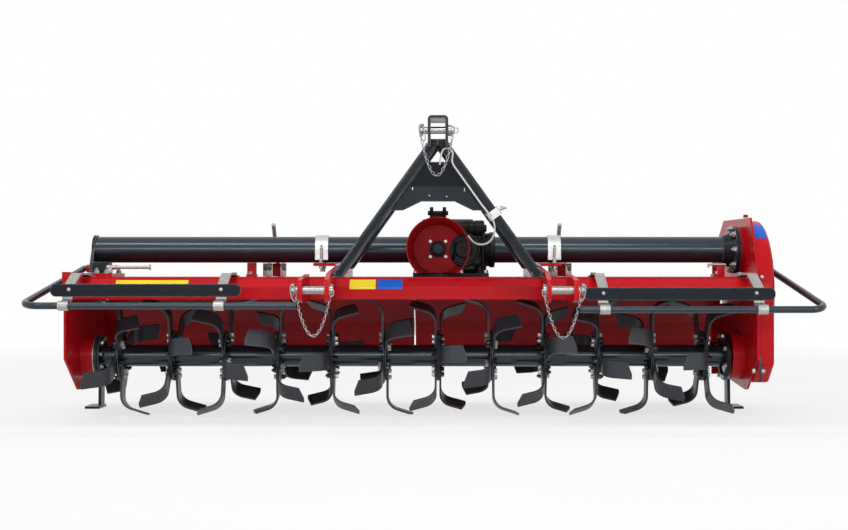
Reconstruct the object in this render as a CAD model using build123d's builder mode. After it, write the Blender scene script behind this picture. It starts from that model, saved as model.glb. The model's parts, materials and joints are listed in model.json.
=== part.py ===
"""Three-point-hitch rotary tiller with a side drive case.

Frame: +X across the machine, towards the drive case; +Y to the rear; +Z up.
The tractor stands at -Y.  The origin is on the ground, below the centre of the
machine's bounding box.  All sizes are millimetres.
"""
from build123d import *
from math import atan2, cos, degrees, hypot, radians, sin
import os

os.makedirs("parts", exist_ok=True)

# ---------------------------------------------------------------- driving sizes
# Working width: distances from the hitch centre line
REACH_LEFT = 1382.0            # outer face of the left side plate
REACH_RIGHT = 1180.0           # inner face of the drive side's plate
PLATE_T = 8.0
CASE_WIDTH = 59.0              # drive case, beyond its plate
FIT = 0.3                      # clearance round pins, shafts and rings

# Rotor
FLANGE_COUNT = 12
FLANGE_IN_LEFT = 148.0         # first flange, in from the left plate's face
FLANGE_IN_RIGHT = 151.3        # last flange, in from the drive side's plate
FLANGE_R = 97.5
FLANGE_T = 10.0
ROTOR_TUBE_R = 42.0
ROTOR_WALL = 8.0
BLADE_T = 8.0
BLADE_W = 64.0
BLADE_REACH = 231.0            # axis to the middle of a blade's tip
BLADE_SIDE = 109.0             # flange face to the blade's tip, sideways
BLADE_SLOPE = 19.5             # degrees, the blade's sideways run
PHASE_STEP = -25.5             # degrees from one flange to the next
FIRST_PHASE = 38.0
BLADES_PER_HAND = 3

# Body
BODY_FRONT = -303.0            # front beam's face, from the rotor axis
HOOD_Z = 541.0                 # hood's top surface
HOOD_T = 6.0
BEAM_HIGH = 76.0
BEAM_DEEP = 96.0
BEAM_SLOPE = 30.0              # slanted strip along the beam's upper front edge
BEAM_WALL = 5.0
HINGE_Y = 300.0                # rear board's hinge
HINGE_Z = 458.0
HINGE_R = 14.0
BOARD_T = 8.0
BOARD_DROP = 255.0             # from the hinge down to the board's lower edge
BOARD_BACK = 200.0             # and how far behind the hinge that edge is
BOARD_EDGE_R = 17.0
BOARD_TUBE_R = 24.0
BOARD_SLIT = -97.0             # left of the hitch centre
BOARD_GAP = 6.0

# Top tube and gearbox
TUBE_Z = 646.0
TUBE_R = 50.8
TUBE_WALL = 8.0
SHAFT_Z = 647.0
SHAFT_R = 22.2
SHAFT_STUB = 80.0              # free length that the drive shaft's yoke slides on
JOURNAL_R = 26.0
GUARD_R = 118.0
GUARD_LONG = 150.0
GUARD_WALL = 4.0

# Three-point hitch
HITCH_SPAN = 870.0             # between the lower pins' middles
HITCH_Z = 496.0
HITCH_Y = -560.0
EAR_GAP = 78.0
EAR_T = 16.0
LOWER_PIN_R = 14.0
TOP_PIN_Z = 1059.0
TOP_PIN_Y = -532.0
TOP_PIN_R = 12.7
TOP_GAP = 52.0
TOP_PLATE_T = 10.0
MAST_W = 36.0                  # mast arm seen from the front
MAST_D = 56.0                  # and from the side
MAST_WALL = 5.0

# Front guard
GUARD_BAR_R = 12.5
GUARD_BAR_Z = 442.0
GUARD_DROP = 13.0              # the drive side's bar and flat hang this much lower
GUARD_BAR_Y = -575.0
GUARD_BAR_SPREAD_LEFT = 84.0   # bar's bend, out from the left plate
GUARD_BAR_SPREAD_RIGHT = 188.0 # and out from the drive side's plate
STRAP_W = 36.0
STRAP_T = 6.0
FLAT_T = 6.0
FLAT_LOW = 473.0
FLAT_HIGH = 518.0

# Parking legs and adjusting rods
LEG_Y = 330.0
LEG_Z = 300.0
LEG_PIN_R = 10.0
ROD_R = 8.0
ROD_TOP_Y = 40.0
ROD_TOP_Z = 560.0

# ---------------------------------------------------------------- worked out
AXIS_Z = hypot(BLADE_REACH, BLADE_W / 2)
GUARD_BAR_LEFT = REACH_LEFT + GUARD_BAR_SPREAD_LEFT
GUARD_BAR_RIGHT = REACH_RIGHT + GUARD_BAR_SPREAD_RIGHT
GUARD_BAR_INNER = HITCH_SPAN / 2 + 61.0
STRAP_X = (-REACH_LEFT + 74.0, -HITCH_SPAN / 2 - 330.0, HITCH_SPAN / 2 + 148.0, REACH_RIGHT - 46.0)
ROD_X = (-HITCH_SPAN / 2 - 217.0, HITCH_SPAN / 2 + 47.0)
REAR_END = HINGE_Y + BOARD_BACK + BOARD_EDGE_R
FRONT_END = GUARD_BAR_Y - GUARD_BAR_R
HITCH_X = (GUARD_BAR_LEFT - GUARD_BAR_RIGHT) / 2
ROTOR_Y = -(FRONT_END + REAR_END) / 2
FIRST_FLANGE = -REACH_LEFT + FLANGE_IN_LEFT
FLANGE_PITCH = (REACH_RIGHT - FLANGE_IN_RIGHT - FIRST_FLANGE) / (FLANGE_COUNT - 1)
FLANGES = [FIRST_FLANGE + i * FLANGE_PITCH for i in range(FLANGE_COUNT)]
PLATE_IN_LEFT = -REACH_LEFT + PLATE_T
PLATE_IN_RIGHT = REACH_RIGHT


def across(x):
    """Side-view plane at x from the hitch centre: sketch (y, z), extrudes towards +X."""
    return Plane(origin=(HITCH_X + x, ROTOR_Y, 0), x_dir=(0, 1, 0), z_dir=(1, 0, 0))


def facing(y):
    """Front-view plane at y from the rotor axis: sketch (x, z), extrudes towards -Y."""
    return Plane(origin=(HITCH_X, ROTOR_Y + y, 0), x_dir=(1, 0, 0), z_dir=(0, -1, 0))


def level(z):
    """Plan-view plane at height z: sketch (x, y), extrudes upwards."""
    return Plane(origin=(HITCH_X, ROTOR_Y, z), x_dir=(1, 0, 0), z_dir=(0, 0, 1))


def save(builder, name):
    builder.part.label = name
    export_step(builder.part, f"parts/{name}.step")


def place(x, y, z):
    """A point given from the hitch centre, the rotor axis and the ground."""
    return (HITCH_X + x, ROTOR_Y + y, z)


# ================================================================ rotor
def axle(x, z=AXIS_Z, y=0.0):
    """A plane square to a cross shaft at x, centred on the shaft."""
    return Plane(origin=place(x, y, z), x_dir=(0, 1, 0), z_dir=(1, 0, 0))


BEARING_R = 62.0
BEARING_LONG = 40.0
STUB_R = 30.0
STUB_GAP = 6.0                 # between a bearing's face and the turning flange
ROTOR_FLANGE_R = 75.0
ROTOR_FLANGE_T = 14.0
DRUM_R = 92.0
DRUM_LONG = 46.0
TUBE_LEFT = PLATE_IN_LEFT + BEARING_LONG + STUB_GAP + ROTOR_FLANGE_T
TUBE_RIGHT = PLATE_IN_RIGHT - DRUM_LONG - STUB_GAP - ROTOR_FLANGE_T
STUB_BLIND = 8.0               # metal left behind a bearing's bore

# Rotor tube with its end flanges and the stubs that run in the bearings
with BuildPart() as rotor_tube:
    with BuildSketch(axle(TUBE_LEFT)):
        Circle(ROTOR_TUBE_R)
        Circle(ROTOR_TUBE_R - ROTOR_WALL, mode=Mode.SUBTRACT)
    extrude(amount=TUBE_RIGHT - TUBE_LEFT)
    for start, way, depth in (
        (TUBE_LEFT, -1, STUB_GAP + BEARING_LONG - STUB_BLIND),
        (TUBE_RIGHT, 1, STUB_GAP + DRUM_LONG - STUB_BLIND),
    ):
        with BuildSketch(axle(start)):
            Circle(ROTOR_FLANGE_R)
        extrude(amount=way * ROTOR_FLANGE_T)
        with BuildSketch(axle(start + way * ROTOR_FLANGE_T)):
            Circle(STUB_R)
        extrude(amount=way * depth)
save(rotor_tube, "rotor_tube")

with BuildPart() as blade_flanges:
    for x in FLANGES:
        with BuildSketch(axle(x - FLANGE_T / 2)):
            Circle(FLANGE_R)
            Circle(ROTOR_TUBE_R + FIT / 2, mode=Mode.SUBTRACT)
        extrude(amount=FLANGE_T)
save(blade_flanges, "blade_flanges")


def phase(index):
    """Angle of a flange's first right-going blade: 0 points forwards, 90 up."""
    half = 60.0 if index > FLANGE_COUNT * 0.58 else 0.0
    return FIRST_PHASE + PHASE_STEP * index + half


BLADE_ROOT = ROTOR_TUBE_R + 6.0
BLADE_BEND_R = 55.0
BLADE_RUN = BLADE_SIDE - FLANGE_T / 2 - BLADE_T / 2
BLADE_CORNER = BLADE_REACH - BLADE_RUN * sin(radians(BLADE_SLOPE)) / cos(radians(BLADE_SLOPE))
TIP_BEVEL = 16.0

# One blade pointing up from a flange at the hitch centre, cutting to the right
with BuildPart() as blade:
    lean = Plane(origin=(0, 0, 0), x_dir=(1, 0, 0), z_dir=(0, -1, 0))
    side = FLANGE_T / 2 + BLADE_T / 2
    with BuildSketch(lean):
        with BuildLine():
            FilletPolyline(
                (side, BLADE_ROOT),
                (side, BLADE_CORNER),
                (BLADE_SIDE, BLADE_REACH - BLADE_T / 2),
                radius=BLADE_BEND_R,
            )
        trace(line_width=BLADE_T)
    extrude(amount=BLADE_W / 2, both=True)
    with BuildSketch(Plane.XY.offset(BLADE_CORNER)):
        with BuildLine():
            Polyline(
                (BLADE_SIDE - TIP_BEVEL, BLADE_W / 2),
                (BLADE_SIDE + BLADE_T, -BLADE_W / 2),
                (BLADE_SIDE + BLADE_T, BLADE_W / 2),
                close=True,
            )
        make_face()
    extrude(amount=BLADE_REACH, mode=Mode.SUBTRACT)

with BuildPart() as left_blade:
    mirror(blade.part, about=Plane.YZ)


def blade_place(index, angle):
    """Where a flange's blade stands: turned about the rotor axis to its angle."""
    return Location(place(FLANGES[index], 0, AXIS_Z), (90 - angle, 0, 0))


HAND_STEP = 360.0 / BLADES_PER_HAND
with BuildPart() as blades_right_hand:
    with Locations(*[
        blade_place(i, phase(i) + k * HAND_STEP)
        for i in range(FLANGE_COUNT) for k in range(BLADES_PER_HAND)
    ]):
        add(blade.part)
save(blades_right_hand, "blades_right_hand")

with BuildPart() as blades_left_hand:
    with Locations(*[
        blade_place(i, phase(i) + (k + 0.5) * HAND_STEP)
        for i in range(FLANGE_COUNT) for k in range(BLADES_PER_HAND)
    ]):
        add(left_blade.part)
save(blades_left_hand, "blades_left_hand")

# ================================================================ body shell
SHEET_FRONT = -296.0           # plate's front edge
NOSE_FRONT = -318.0            # front of the left plate's nose, in front of the beam
NOSE_TOP = HOOD_Z + 19.0
NOSE_LOW = HOOD_Z - 29.0
NOSE_W = 28.0
HOOD_BEND_Y = 205.0            # where the hood's roof turns down to the hinge
LEFT_OUTLINE = [               # (y, z) of the left side plate
    (NOSE_FRONT, NOSE_TOP), (NOSE_FRONT, NOSE_LOW), (SHEET_FRONT, NOSE_LOW - 22),
    (SHEET_FRONT, 237), (-110, 110), (-30, 106), (357, 136),
    (357, 360), (HINGE_Y - 40, HINGE_Z + 10), (HOOD_BEND_Y, HOOD_Z + 6),
]
RIGHT_OUTLINE = [              # (y, z) of the drive side's inner plate
    (-290, 530), (-250, 628), (-164, 765), (325, 770), (430, 702), (430, 600),
    (357, 430), (357, 136), (-78, 107), (-110, 112), (-290, 237),
]

LIP_W = 44.0                   # rear edge of each plate, bent inwards
LIP_T = 6.0
LIP_LINE = [(357 - LIP_T / 2, 136), (357 - LIP_T / 2, 362), (292, 428)]


def rear_lip(inner_face):
    """The bent rear edge of a side plate, from its inner face inwards."""
    with BuildPart() as lip:
        with BuildSketch(across(inner_face)):
            with BuildLine():
                Polyline(*LIP_LINE)
            trace(line_width=LIP_T)
        extrude(amount=LIP_W)
    return lip.part


with BuildPart() as side_plate_left:
    with BuildSketch(across(-REACH_LEFT)):
        with BuildLine():
            Polyline(*LEFT_OUTLINE, close=True)
        make_face()
    extrude(amount=PLATE_T)
    add(rear_lip(-REACH_LEFT + PLATE_T))
    with BuildSketch(across(-REACH_LEFT)):
        with BuildLine():
            Polyline(
                (NOSE_FRONT, NOSE_TOP), (NOSE_FRONT, NOSE_LOW),
                (BODY_FRONT - FIT, NOSE_LOW), (BODY_FRONT - FIT, NOSE_TOP),
                close=True,
            )
        make_face()
    extrude(amount=NOSE_W)
save(side_plate_left, "side_plate_left")

with BuildPart() as side_plate_right:
    with BuildSketch(across(REACH_RIGHT)):
        with BuildLine():
            Polyline(*RIGHT_OUTLINE, close=True)
        make_face()
    extrude(amount=PLATE_T)
    add(rear_lip(REACH_RIGHT - LIP_W))
save(side_plate_right, "side_plate_right")

CASE_HALF = 280.0
CASE_ARC_Z = 478.0             # middle of the case's round top
with BuildPart() as drive_case:
    with BuildSketch(across(REACH_RIGHT + PLATE_T)):
        with BuildLine():
            Polyline(
                (-CASE_HALF, CASE_ARC_Z), (-CASE_HALF, 215), (-190, 143), (190, 143),
                (CASE_HALF, 215), (CASE_HALF, CASE_ARC_Z),
            )
            ThreePointArc(
                (CASE_HALF, CASE_ARC_Z), (0, CASE_ARC_Z + CASE_HALF), (-CASE_HALF, CASE_ARC_Z)
            )
        make_face()
        fillet(vertices().group_by(Axis.Y)[0] + vertices().group_by(Axis.Y)[1], radius=28)
    extrude(amount=CASE_WIDTH)
    fillet(faces().sort_by(Axis.X)[-1].edges(), radius=12)
save(drive_case, "drive_case")

HOOD_LEFT = PLATE_IN_LEFT
HOOD_RIGHT = PLATE_IN_RIGHT
HOOD_LONG = HOOD_RIGHT - HOOD_LEFT
HOOD_BEND_R = 60.0
BEAM_TOP = HOOD_Z - HOOD_T
with BuildPart() as hood:
    with BuildSketch(across(HOOD_LEFT)):
        with BuildLine():
            FilletPolyline(
                (BODY_FRONT + BEAM_SLOPE, HOOD_Z - HOOD_T / 2),
                (HOOD_BEND_Y, HOOD_Z - HOOD_T / 2),
                (HINGE_Y - 24, HINGE_Z + 14),
                radius=HOOD_BEND_R,
            )
        trace(line_width=HOOD_T)
    extrude(amount=HOOD_LONG)
save(hood, "hood")

with BuildPart() as front_beam:
    with BuildSketch(across(HOOD_LEFT)):
        with Locations((BODY_FRONT + BEAM_DEEP / 2, BEAM_TOP - BEAM_HIGH / 2)):
            Rectangle(BEAM_DEEP, BEAM_HIGH)
        chamfer(vertices().group_by(Axis.Y)[-1].sort_by(Axis.X)[0], length=BEAM_SLOPE)
        offset(amount=-BEAM_WALL, mode=Mode.SUBTRACT)
    extrude(amount=HOOD_LONG)
save(front_beam, "front_beam")

# Square tube inside the hood's rear corner
STIFF_W = 60.0
STIFF_WALL = 6.0
with BuildPart() as hood_stiffener:
    with BuildSketch(across(HOOD_LEFT)):
        with Locations((HOOD_BEND_Y - HOOD_BEND_R / 2 - STIFF_W / 2, BEAM_TOP - STIFF_W / 2 - FIT)):
            RectangleRounded(STIFF_W, STIFF_W, 8)
            RectangleRounded(STIFF_W - 2 * STIFF_WALL, STIFF_W - 2 * STIFF_WALL, 3, mode=Mode.SUBTRACT)
    extrude(amount=HOOD_LONG)
save(hood_stiffener, "hood_stiffener")

# ================================================================ rear board
BOARD_SIDE_LEFT = HOOD_LEFT + 14.0
BOARD_SIDE_RIGHT = HOOD_RIGHT - 14.0
BOARD_SPLIT = BOARD_SLIT
BOARD_OUTLINE = [              # (y, z) down the board from its hinge
    (HINGE_Y, HINGE_Z), (HINGE_Y + 105, HINGE_Z - 105),
    (HINGE_Y + 0.85 * BOARD_BACK, HINGE_Z - BOARD_DROP + 65),
    (HINGE_Y + BOARD_BACK, HINGE_Z - BOARD_DROP),
]
LUG_T = 8.0
LUG_SIDE = 12.0                # rod's centre to the inner face of a lug
LUG_Y = HINGE_Y + 130.0
LUG_Z = HINGE_Z - 62.0
EYE_R = 17.0
EYE_PIN_R = 8.0
HINGE_PIN_R = 7.0
for name, left, right, rod_x in (
    ("rear_board_left", BOARD_SIDE_LEFT, BOARD_SPLIT - BOARD_GAP / 2, ROD_X[0]),
    ("rear_board_right", BOARD_SPLIT + BOARD_GAP / 2, BOARD_SIDE_RIGHT, ROD_X[1]),
):
    with BuildPart() as board:
        with BuildSketch(across(left)):
            with BuildLine():
                FilletPolyline(*BOARD_OUTLINE, radius=60)
            trace(line_width=BOARD_T)
            with Locations(BOARD_OUTLINE[0]):
                Circle(HINGE_R)
                Circle(HINGE_PIN_R + FIT, mode=Mode.SUBTRACT)
            with Locations(BOARD_OUTLINE[-1]):
                Circle(BOARD_EDGE_R)
            with Locations((HINGE_Y + 159, HINGE_Z - 132)):
                Circle(BOARD_TUBE_R)
                Circle(BOARD_TUBE_R - 5, mode=Mode.SUBTRACT)
        extrude(amount=right - left)
        for lug in (-LUG_SIDE - LUG_T, LUG_SIDE):
            with BuildSketch(across(rod_x + lug)):
                with BuildLine():
                    Polyline(
                        (HINGE_Y + 60, HINGE_Z - 60), (LUG_Y - 12, LUG_Z + 10), (LUG_Y + 12, LUG_Z - 12),
                        (HINGE_Y + 106, HINGE_Z - 105),
                        close=True,
                    )
                make_face()
                with Locations((LUG_Y, LUG_Z)):
                    Circle(EYE_R)
            extrude(amount=LUG_T)
        with BuildSketch(across(rod_x - LUG_SIDE)):
            with Locations((LUG_Y, LUG_Z)):
                Circle(EYE_PIN_R)
        extrude(amount=2 * LUG_SIDE)
    save(board, name)

# Brackets under the hood's rear edge hold the pins of both boards
HINGE_REACH = 30.0             # length of pin inside a board's barrel
BRACKET_SIDE = BOARD_SIDE_LEFT - HOOD_LEFT - FIT
BRACKET_MIDDLE = BOARD_GAP - 2 * FIT
with BuildPart() as hinge_brackets:
    for left, wide, pin_left, pin_right in (
        (HOOD_LEFT, BRACKET_SIDE, 0, HINGE_REACH),
        (BOARD_SPLIT - BRACKET_MIDDLE / 2, BRACKET_MIDDLE, HINGE_REACH, HINGE_REACH),
        (HOOD_RIGHT - BRACKET_SIDE, BRACKET_SIDE, HINGE_REACH, 0),
    ):
        with BuildSketch(across(left)):
            with BuildLine():
                Polyline(
                    (HINGE_Y - 23, HINGE_Z + 8), (HINGE_Y - 52, HINGE_Z + 30),
                    (HINGE_Y - 62, HINGE_Z + 4), (HINGE_Y - 4, HINGE_Z - 12), (HINGE_Y + 8, HINGE_Z),
                    close=True,
                )
            make_face()
            with Locations((HINGE_Y, HINGE_Z)):
                Circle(HINGE_R - 1)
        extrude(amount=wide)
        with BuildSketch(across(left - pin_left)):
            with Locations((HINGE_Y, HINGE_Z)):
                Circle(HINGE_PIN_R)
        extrude(amount=pin_left + wide + pin_right)
save(hinge_brackets, "hinge_brackets")

# ================================================================ top tube and gearbox
GEARBOX_LEFT = -92.0
GEARBOX_RIGHT = 190.0
GEARBOX_FRONT = -105.0
GEARBOX_REAR = 150.0
GEARBOX_TOP = 764.0
BASE_T = 14.0
OUTPUT_BOSS = 30.0
FLANGE_BOLT_R = 92.0
TUBE_END_LEFT = -REACH_LEFT + 44.0
TUBE_FLANGE_T = 16.0
END_FOOT_RIGHT = -REACH_LEFT + 142.0
SUPPORT_X = (ROD_X[0] - 74.0, REACH_RIGHT - 68.0)


def tube(plane, radius, wall, length):
    with BuildPart() as piece:
        with BuildSketch(plane):
            Circle(radius)
            Circle(radius - wall, mode=Mode.SUBTRACT)
        extrude(amount=length)
    return piece.part


END_PLATE_T = 12.0
FLANGE_LEFT = PLATE_IN_RIGHT - 2 * TUBE_FLANGE_T
CONE_LONG = 44.0
CONE_R = 72.0
for name, left, right in (
    ("top_tube_left", TUBE_END_LEFT + END_PLATE_T, GEARBOX_LEFT),
    ("top_tube_right", GEARBOX_RIGHT + OUTPUT_BOSS, FLANGE_LEFT),
):
    with BuildPart() as top_tube:
        add(tube(axle(left, TUBE_Z), TUBE_R, TUBE_WALL, right - left))
    save(top_tube, name)

# Bolted flange with a cone that runs out on the tube, and the boss that it meets
with BuildPart() as tube_flange:
    with BuildSketch(axle(FLANGE_LEFT, TUBE_Z)):
        Circle(FLANGE_BOLT_R)
        Circle(TUBE_R + FIT / 2, mode=Mode.SUBTRACT)
    extrude(amount=TUBE_FLANGE_T - FIT)
    with BuildSketch(axle(FLANGE_LEFT - CONE_LONG, TUBE_Z)):
        Circle(TUBE_R + 3)
    with BuildSketch(axle(FLANGE_LEFT, TUBE_Z)):
        Circle(CONE_R)
    loft()
    with BuildSketch(axle(FLANGE_LEFT - CONE_LONG, TUBE_Z)):
        Circle(TUBE_R + FIT / 2)
    extrude(amount=CONE_LONG, mode=Mode.SUBTRACT)
save(tube_flange, "tube_flange")

with BuildPart() as drive_boss:
    with BuildSketch(axle(FLANGE_LEFT + TUBE_FLANGE_T, TUBE_Z)):
        Circle(FLANGE_BOLT_R - 4)
    extrude(amount=TUBE_FLANGE_T)
save(drive_boss, "drive_boss")

# Plate on the tube's left end, with a gusset, standing on a red foot on the hood
END_R = TUBE_R + 6.0
FOOT_TOP = HOOD_Z + 13.0
with BuildPart() as tube_end_plate:
    with BuildSketch(across(TUBE_END_LEFT)):
        with Locations((0, TUBE_Z)):
            Circle(END_R)
        with BuildLine():
            Polyline((-END_R, TUBE_Z), (END_R, TUBE_Z), (90, FOOT_TOP), (-105, FOOT_TOP), close=True)
        make_face()
    extrude(amount=END_PLATE_T)
    with BuildSketch(across(TUBE_END_LEFT + END_PLATE_T)):
        with BuildLine():
            Polyline((-105, FOOT_TOP), (-98, FOOT_TOP + 44), (-56, FOOT_TOP + 44), (-56, FOOT_TOP), close=True)
        make_face()
    extrude(amount=68)
save(tube_end_plate, "tube_end_plate")

with BuildPart() as end_foot:
    with BuildSketch(level(HOOD_Z)):
        with Locations(((HOOD_LEFT + END_FOOT_RIGHT) / 2, -30)):
            RectangleRounded(END_FOOT_RIGHT - HOOD_LEFT, 250, 16)
    extrude(amount=FOOT_TOP - HOOD_Z)
save(end_foot, "end_foot")

# Upright plates on the hood, under the tube
with BuildPart() as tube_supports:
    for left, wide in ((SUPPORT_X[0] - 18, 36), (SUPPORT_X[1] - 42, 32)):
        with BuildSketch(level(HOOD_Z)):
            with Locations((left + wide / 2, 0)):
                Rectangle(wide, 70)
        extrude(amount=10)
        with BuildSketch(facing(5)):
            with Locations((left + wide / 2, (HOOD_Z + TUBE_Z - TUBE_R) / 2)):
                Rectangle(wide, TUBE_Z - TUBE_R - HOOD_Z - 0.6)
        extrude(amount=10)
save(tube_supports, "tube_supports")

BOSS_R = 60.0
BOSS_LONG = 26.0
with BuildPart() as gearbox:
    with BuildSketch(level(HOOD_Z + BASE_T)):
        with Locations(((GEARBOX_LEFT + GEARBOX_RIGHT) / 2, (GEARBOX_FRONT + GEARBOX_REAR) / 2)):
            RectangleRounded(GEARBOX_RIGHT - GEARBOX_LEFT, GEARBOX_REAR - GEARBOX_FRONT, 26)
    extrude(amount=GEARBOX_TOP - HOOD_Z - BASE_T)
    chamfer(edges().group_by(Axis.Z)[-1], length=22)
    with BuildSketch(facing(GEARBOX_FRONT)):
        with Locations((0, SHAFT_Z)):
            Circle(BOSS_R)
    extrude(amount=BOSS_LONG)
    with BuildSketch(axle(GEARBOX_RIGHT, TUBE_Z)):
        Circle(TUBE_R + 13)
    extrude(amount=OUTPUT_BOSS)
    with BuildSketch(facing(GEARBOX_FRONT + 60)):
        with Locations((0, SHAFT_Z)):
            Circle(JOURNAL_R + FIT)
    extrude(amount=60 + BOSS_LONG, mode=Mode.SUBTRACT)
save(gearbox, "gearbox")

LINK_EAR_T = 14.0
with BuildPart() as gearbox_lug:
    for x in (-32.0, 18.0):
        with BuildSketch(across(x)):
            with Locations((0, GEARBOX_TOP + 24)):
                RectangleRounded(56, 48, 8)
        extrude(amount=LINK_EAR_T)
    with BuildSketch(across(-32.0 + LINK_EAR_T)):
        with Locations((0, GEARBOX_TOP + 12)):
            Rectangle(56, 24)
    extrude(amount=36)
save(gearbox_lug, "gearbox_lug")

with BuildPart() as gearbox_base:
    with BuildSketch(level(HOOD_Z)):
        with Locations(((GEARBOX_LEFT + GEARBOX_RIGHT) / 2, (GEARBOX_FRONT + GEARBOX_REAR) / 2)):
            Rectangle(GEARBOX_RIGHT - GEARBOX_LEFT + 8, GEARBOX_REAR - GEARBOX_FRONT + 30)
    extrude(amount=BASE_T)
save(gearbox_base, "gearbox_base")

# Funnel round the input shaft, flat underneath and open at one side
GUARD_BACK = GEARBOX_FRONT - BOSS_LONG
GUARD_BACK_R = 96.0
GUARD_HOLE_R = JOURNAL_R + 6.0
GUARD_FLAT_Z = HOOD_Z + BASE_T + 1
WINDOW_R = 66.0                # window in the funnel's right side
GUARD_RIM = 8.0                # and the rim left in front of it
with BuildPart() as input_guard:
    with BuildSketch(facing(GUARD_BACK)):
        with Locations((0, SHAFT_Z)):
            Circle(GUARD_BACK_R)
    with BuildSketch(facing(GUARD_BACK - GUARD_LONG)):
        with Locations((0, SHAFT_Z)):
            Circle(GUARD_R)
    loft()
    with BuildSketch(facing(GUARD_BACK - GUARD_WALL)):
        with Locations((0, SHAFT_Z)):
            Circle(GUARD_BACK_R - GUARD_WALL)
    with BuildSketch(facing(GUARD_BACK - GUARD_LONG)):
        with Locations((0, SHAFT_Z)):
            Circle(GUARD_R - GUARD_WALL)
    loft(mode=Mode.SUBTRACT)
    with BuildSketch(facing(GUARD_BACK)):
        with Locations((0, SHAFT_Z)):
            Circle(GUARD_HOLE_R)
        with Locations((0, GUARD_FLAT_Z - GUARD_R)):
            Rectangle(3 * GUARD_R, 2 * GUARD_R)
    extrude(amount=GUARD_LONG, mode=Mode.SUBTRACT)
    with BuildSketch(facing(GUARD_BACK)):
        with Locations((GUARD_BACK_R + 12, SHAFT_Z - 8)):
            Circle(WINDOW_R)
    extrude(amount=GUARD_LONG - GUARD_RIM, mode=Mode.SUBTRACT)
save(input_guard, "input_guard")

SHAFT_BACK = GEARBOX_FRONT + 55.0
SHAFT_TIP = GUARD_BACK - SHAFT_STUB - 20.0
with BuildPart() as input_shaft:
    with BuildSketch(facing(SHAFT_BACK)):
        with Locations((0, SHAFT_Z)):
            Circle(JOURNAL_R)
    extrude(amount=SHAFT_BACK - SHAFT_TIP - SHAFT_STUB)
    with BuildSketch(facing(SHAFT_TIP + SHAFT_STUB)):
        with Locations((0, SHAFT_Z)):
            Circle(SHAFT_R)
    extrude(amount=SHAFT_STUB)
save(input_shaft, "input_shaft")

# ================================================================ rotor bearings
for name, start, way, radius, long in (
    ("rotor_bearing_left", PLATE_IN_LEFT, 1, BEARING_R, BEARING_LONG),
    ("rotor_bearing_right", PLATE_IN_RIGHT, -1, DRUM_R, DRUM_LONG),
):
    with BuildPart() as bearing:
        with BuildSketch(axle(start)):
            Circle(radius)
        extrude(amount=way * long)
        with BuildSketch(axle(start + way * STUB_BLIND)):
            Circle(STUB_R + FIT)
        extrude(amount=way * long, mode=Mode.SUBTRACT)
    save(bearing, name)

# ================================================================ three-point hitch
EAR_FRONT = HITCH_Y - 42.0
TOP_FLANGE_T = 12.0
TOP_FLANGE_Z = TUBE_Z - TUBE_R - TOP_FLANGE_T - 1
CLAMP_W = 50.0
CLAMP_X = HITCH_SPAN / 2 + 15.0
CLAMP_T = 6.0
STUD_R = 5.0
STUD_SEAT = TUBE_R + CLAMP_T + STUD_R + 0.25
for side, name in ((-1, "hitch_bracket_left"), (1, "hitch_bracket_right")):
    middle = side * HITCH_SPAN / 2
    outer = middle + side * (EAR_GAP / 2 + EAR_T / 2)
    inner = middle - side * (EAR_GAP / 2 + EAR_T / 2)
    with BuildPart() as bracket:
        with BuildSketch(across(outer - EAR_T / 2)):
            with BuildLine():
                Polyline(
                    (HITCH_Y - 34, HITCH_Z - 30), (HITCH_Y + 20, HITCH_Z - 44), (BODY_FRONT, 452),
                    (BODY_FRONT, 552), (HITCH_Y + 30, HITCH_Z + 44), (HITCH_Y - 34, HITCH_Z + 34),
                    close=True,
                )
            make_face()
            fillet(vertices().group_by(Axis.X)[0], radius=26)
            with Locations((HITCH_Y, HITCH_Z)):
                Circle(LOWER_PIN_R + FIT, mode=Mode.SUBTRACT)
        extrude(amount=EAR_T)
        with BuildSketch(across(inner - EAR_T / 2)):
            with BuildLine():
                Polyline(
                    (HITCH_Y - 34, HITCH_Z - 30), (HITCH_Y + 20, HITCH_Z - 44), (BODY_FRONT, 452),
                    (BODY_FRONT, HOOD_Z), (70, HOOD_Z + 4), (70, TOP_FLANGE_Z), (-74, TOP_FLANGE_Z),
                    (HITCH_Y + 60, HITCH_Z + 60), (HITCH_Y - 34, HITCH_Z + 34),
                    close=True,
                )
            make_face()
            fillet(vertices().group_by(Axis.X)[0], radius=26)
            with Locations((HITCH_Y, HITCH_Z)):
                Circle(LOWER_PIN_R + FIT, mode=Mode.SUBTRACT)
        extrude(amount=EAR_T)
        with BuildSketch(level(TOP_FLANGE_Z)):
            with Locations((inner + side * (50 - EAR_T / 2), 0)):
                Rectangle(100, 2 * STUD_SEAT + 26)
            with Locations((side * CLAMP_X, -STUD_SEAT), (side * CLAMP_X, STUD_SEAT)):
                Circle(STUD_R + 1, mode=Mode.SUBTRACT)
        extrude(amount=TOP_FLANGE_T)
    save(bracket, name)

HITCH_IN = HITCH_SPAN / 2 - EAR_GAP / 2 - EAR_T
HITCH_OUT = HITCH_SPAN / 2 + EAR_GAP / 2 + EAR_T
PIN_HEAD = 12.0
for side, name in ((-1, "lower_pin_left"), (1, "lower_pin_right")):
    start = -HITCH_OUT - 26 if side < 0 else HITCH_IN - PIN_HEAD - FIT
    with BuildPart() as lower_pin:
        with BuildSketch(across(start)):
            with Locations((HITCH_Y, HITCH_Z)):
                Circle(LOWER_PIN_R)
        extrude(amount=HITCH_OUT - HITCH_IN + 26 + PIN_HEAD + FIT)
        head = -HITCH_IN + FIT if side < 0 else HITCH_IN - PIN_HEAD - FIT
        with BuildSketch(across(head)):
            with Locations((HITCH_Y, HITCH_Z)):
                Circle(LOWER_PIN_R + 7)
        extrude(amount=PIN_HEAD)
    save(lower_pin, name)

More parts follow.
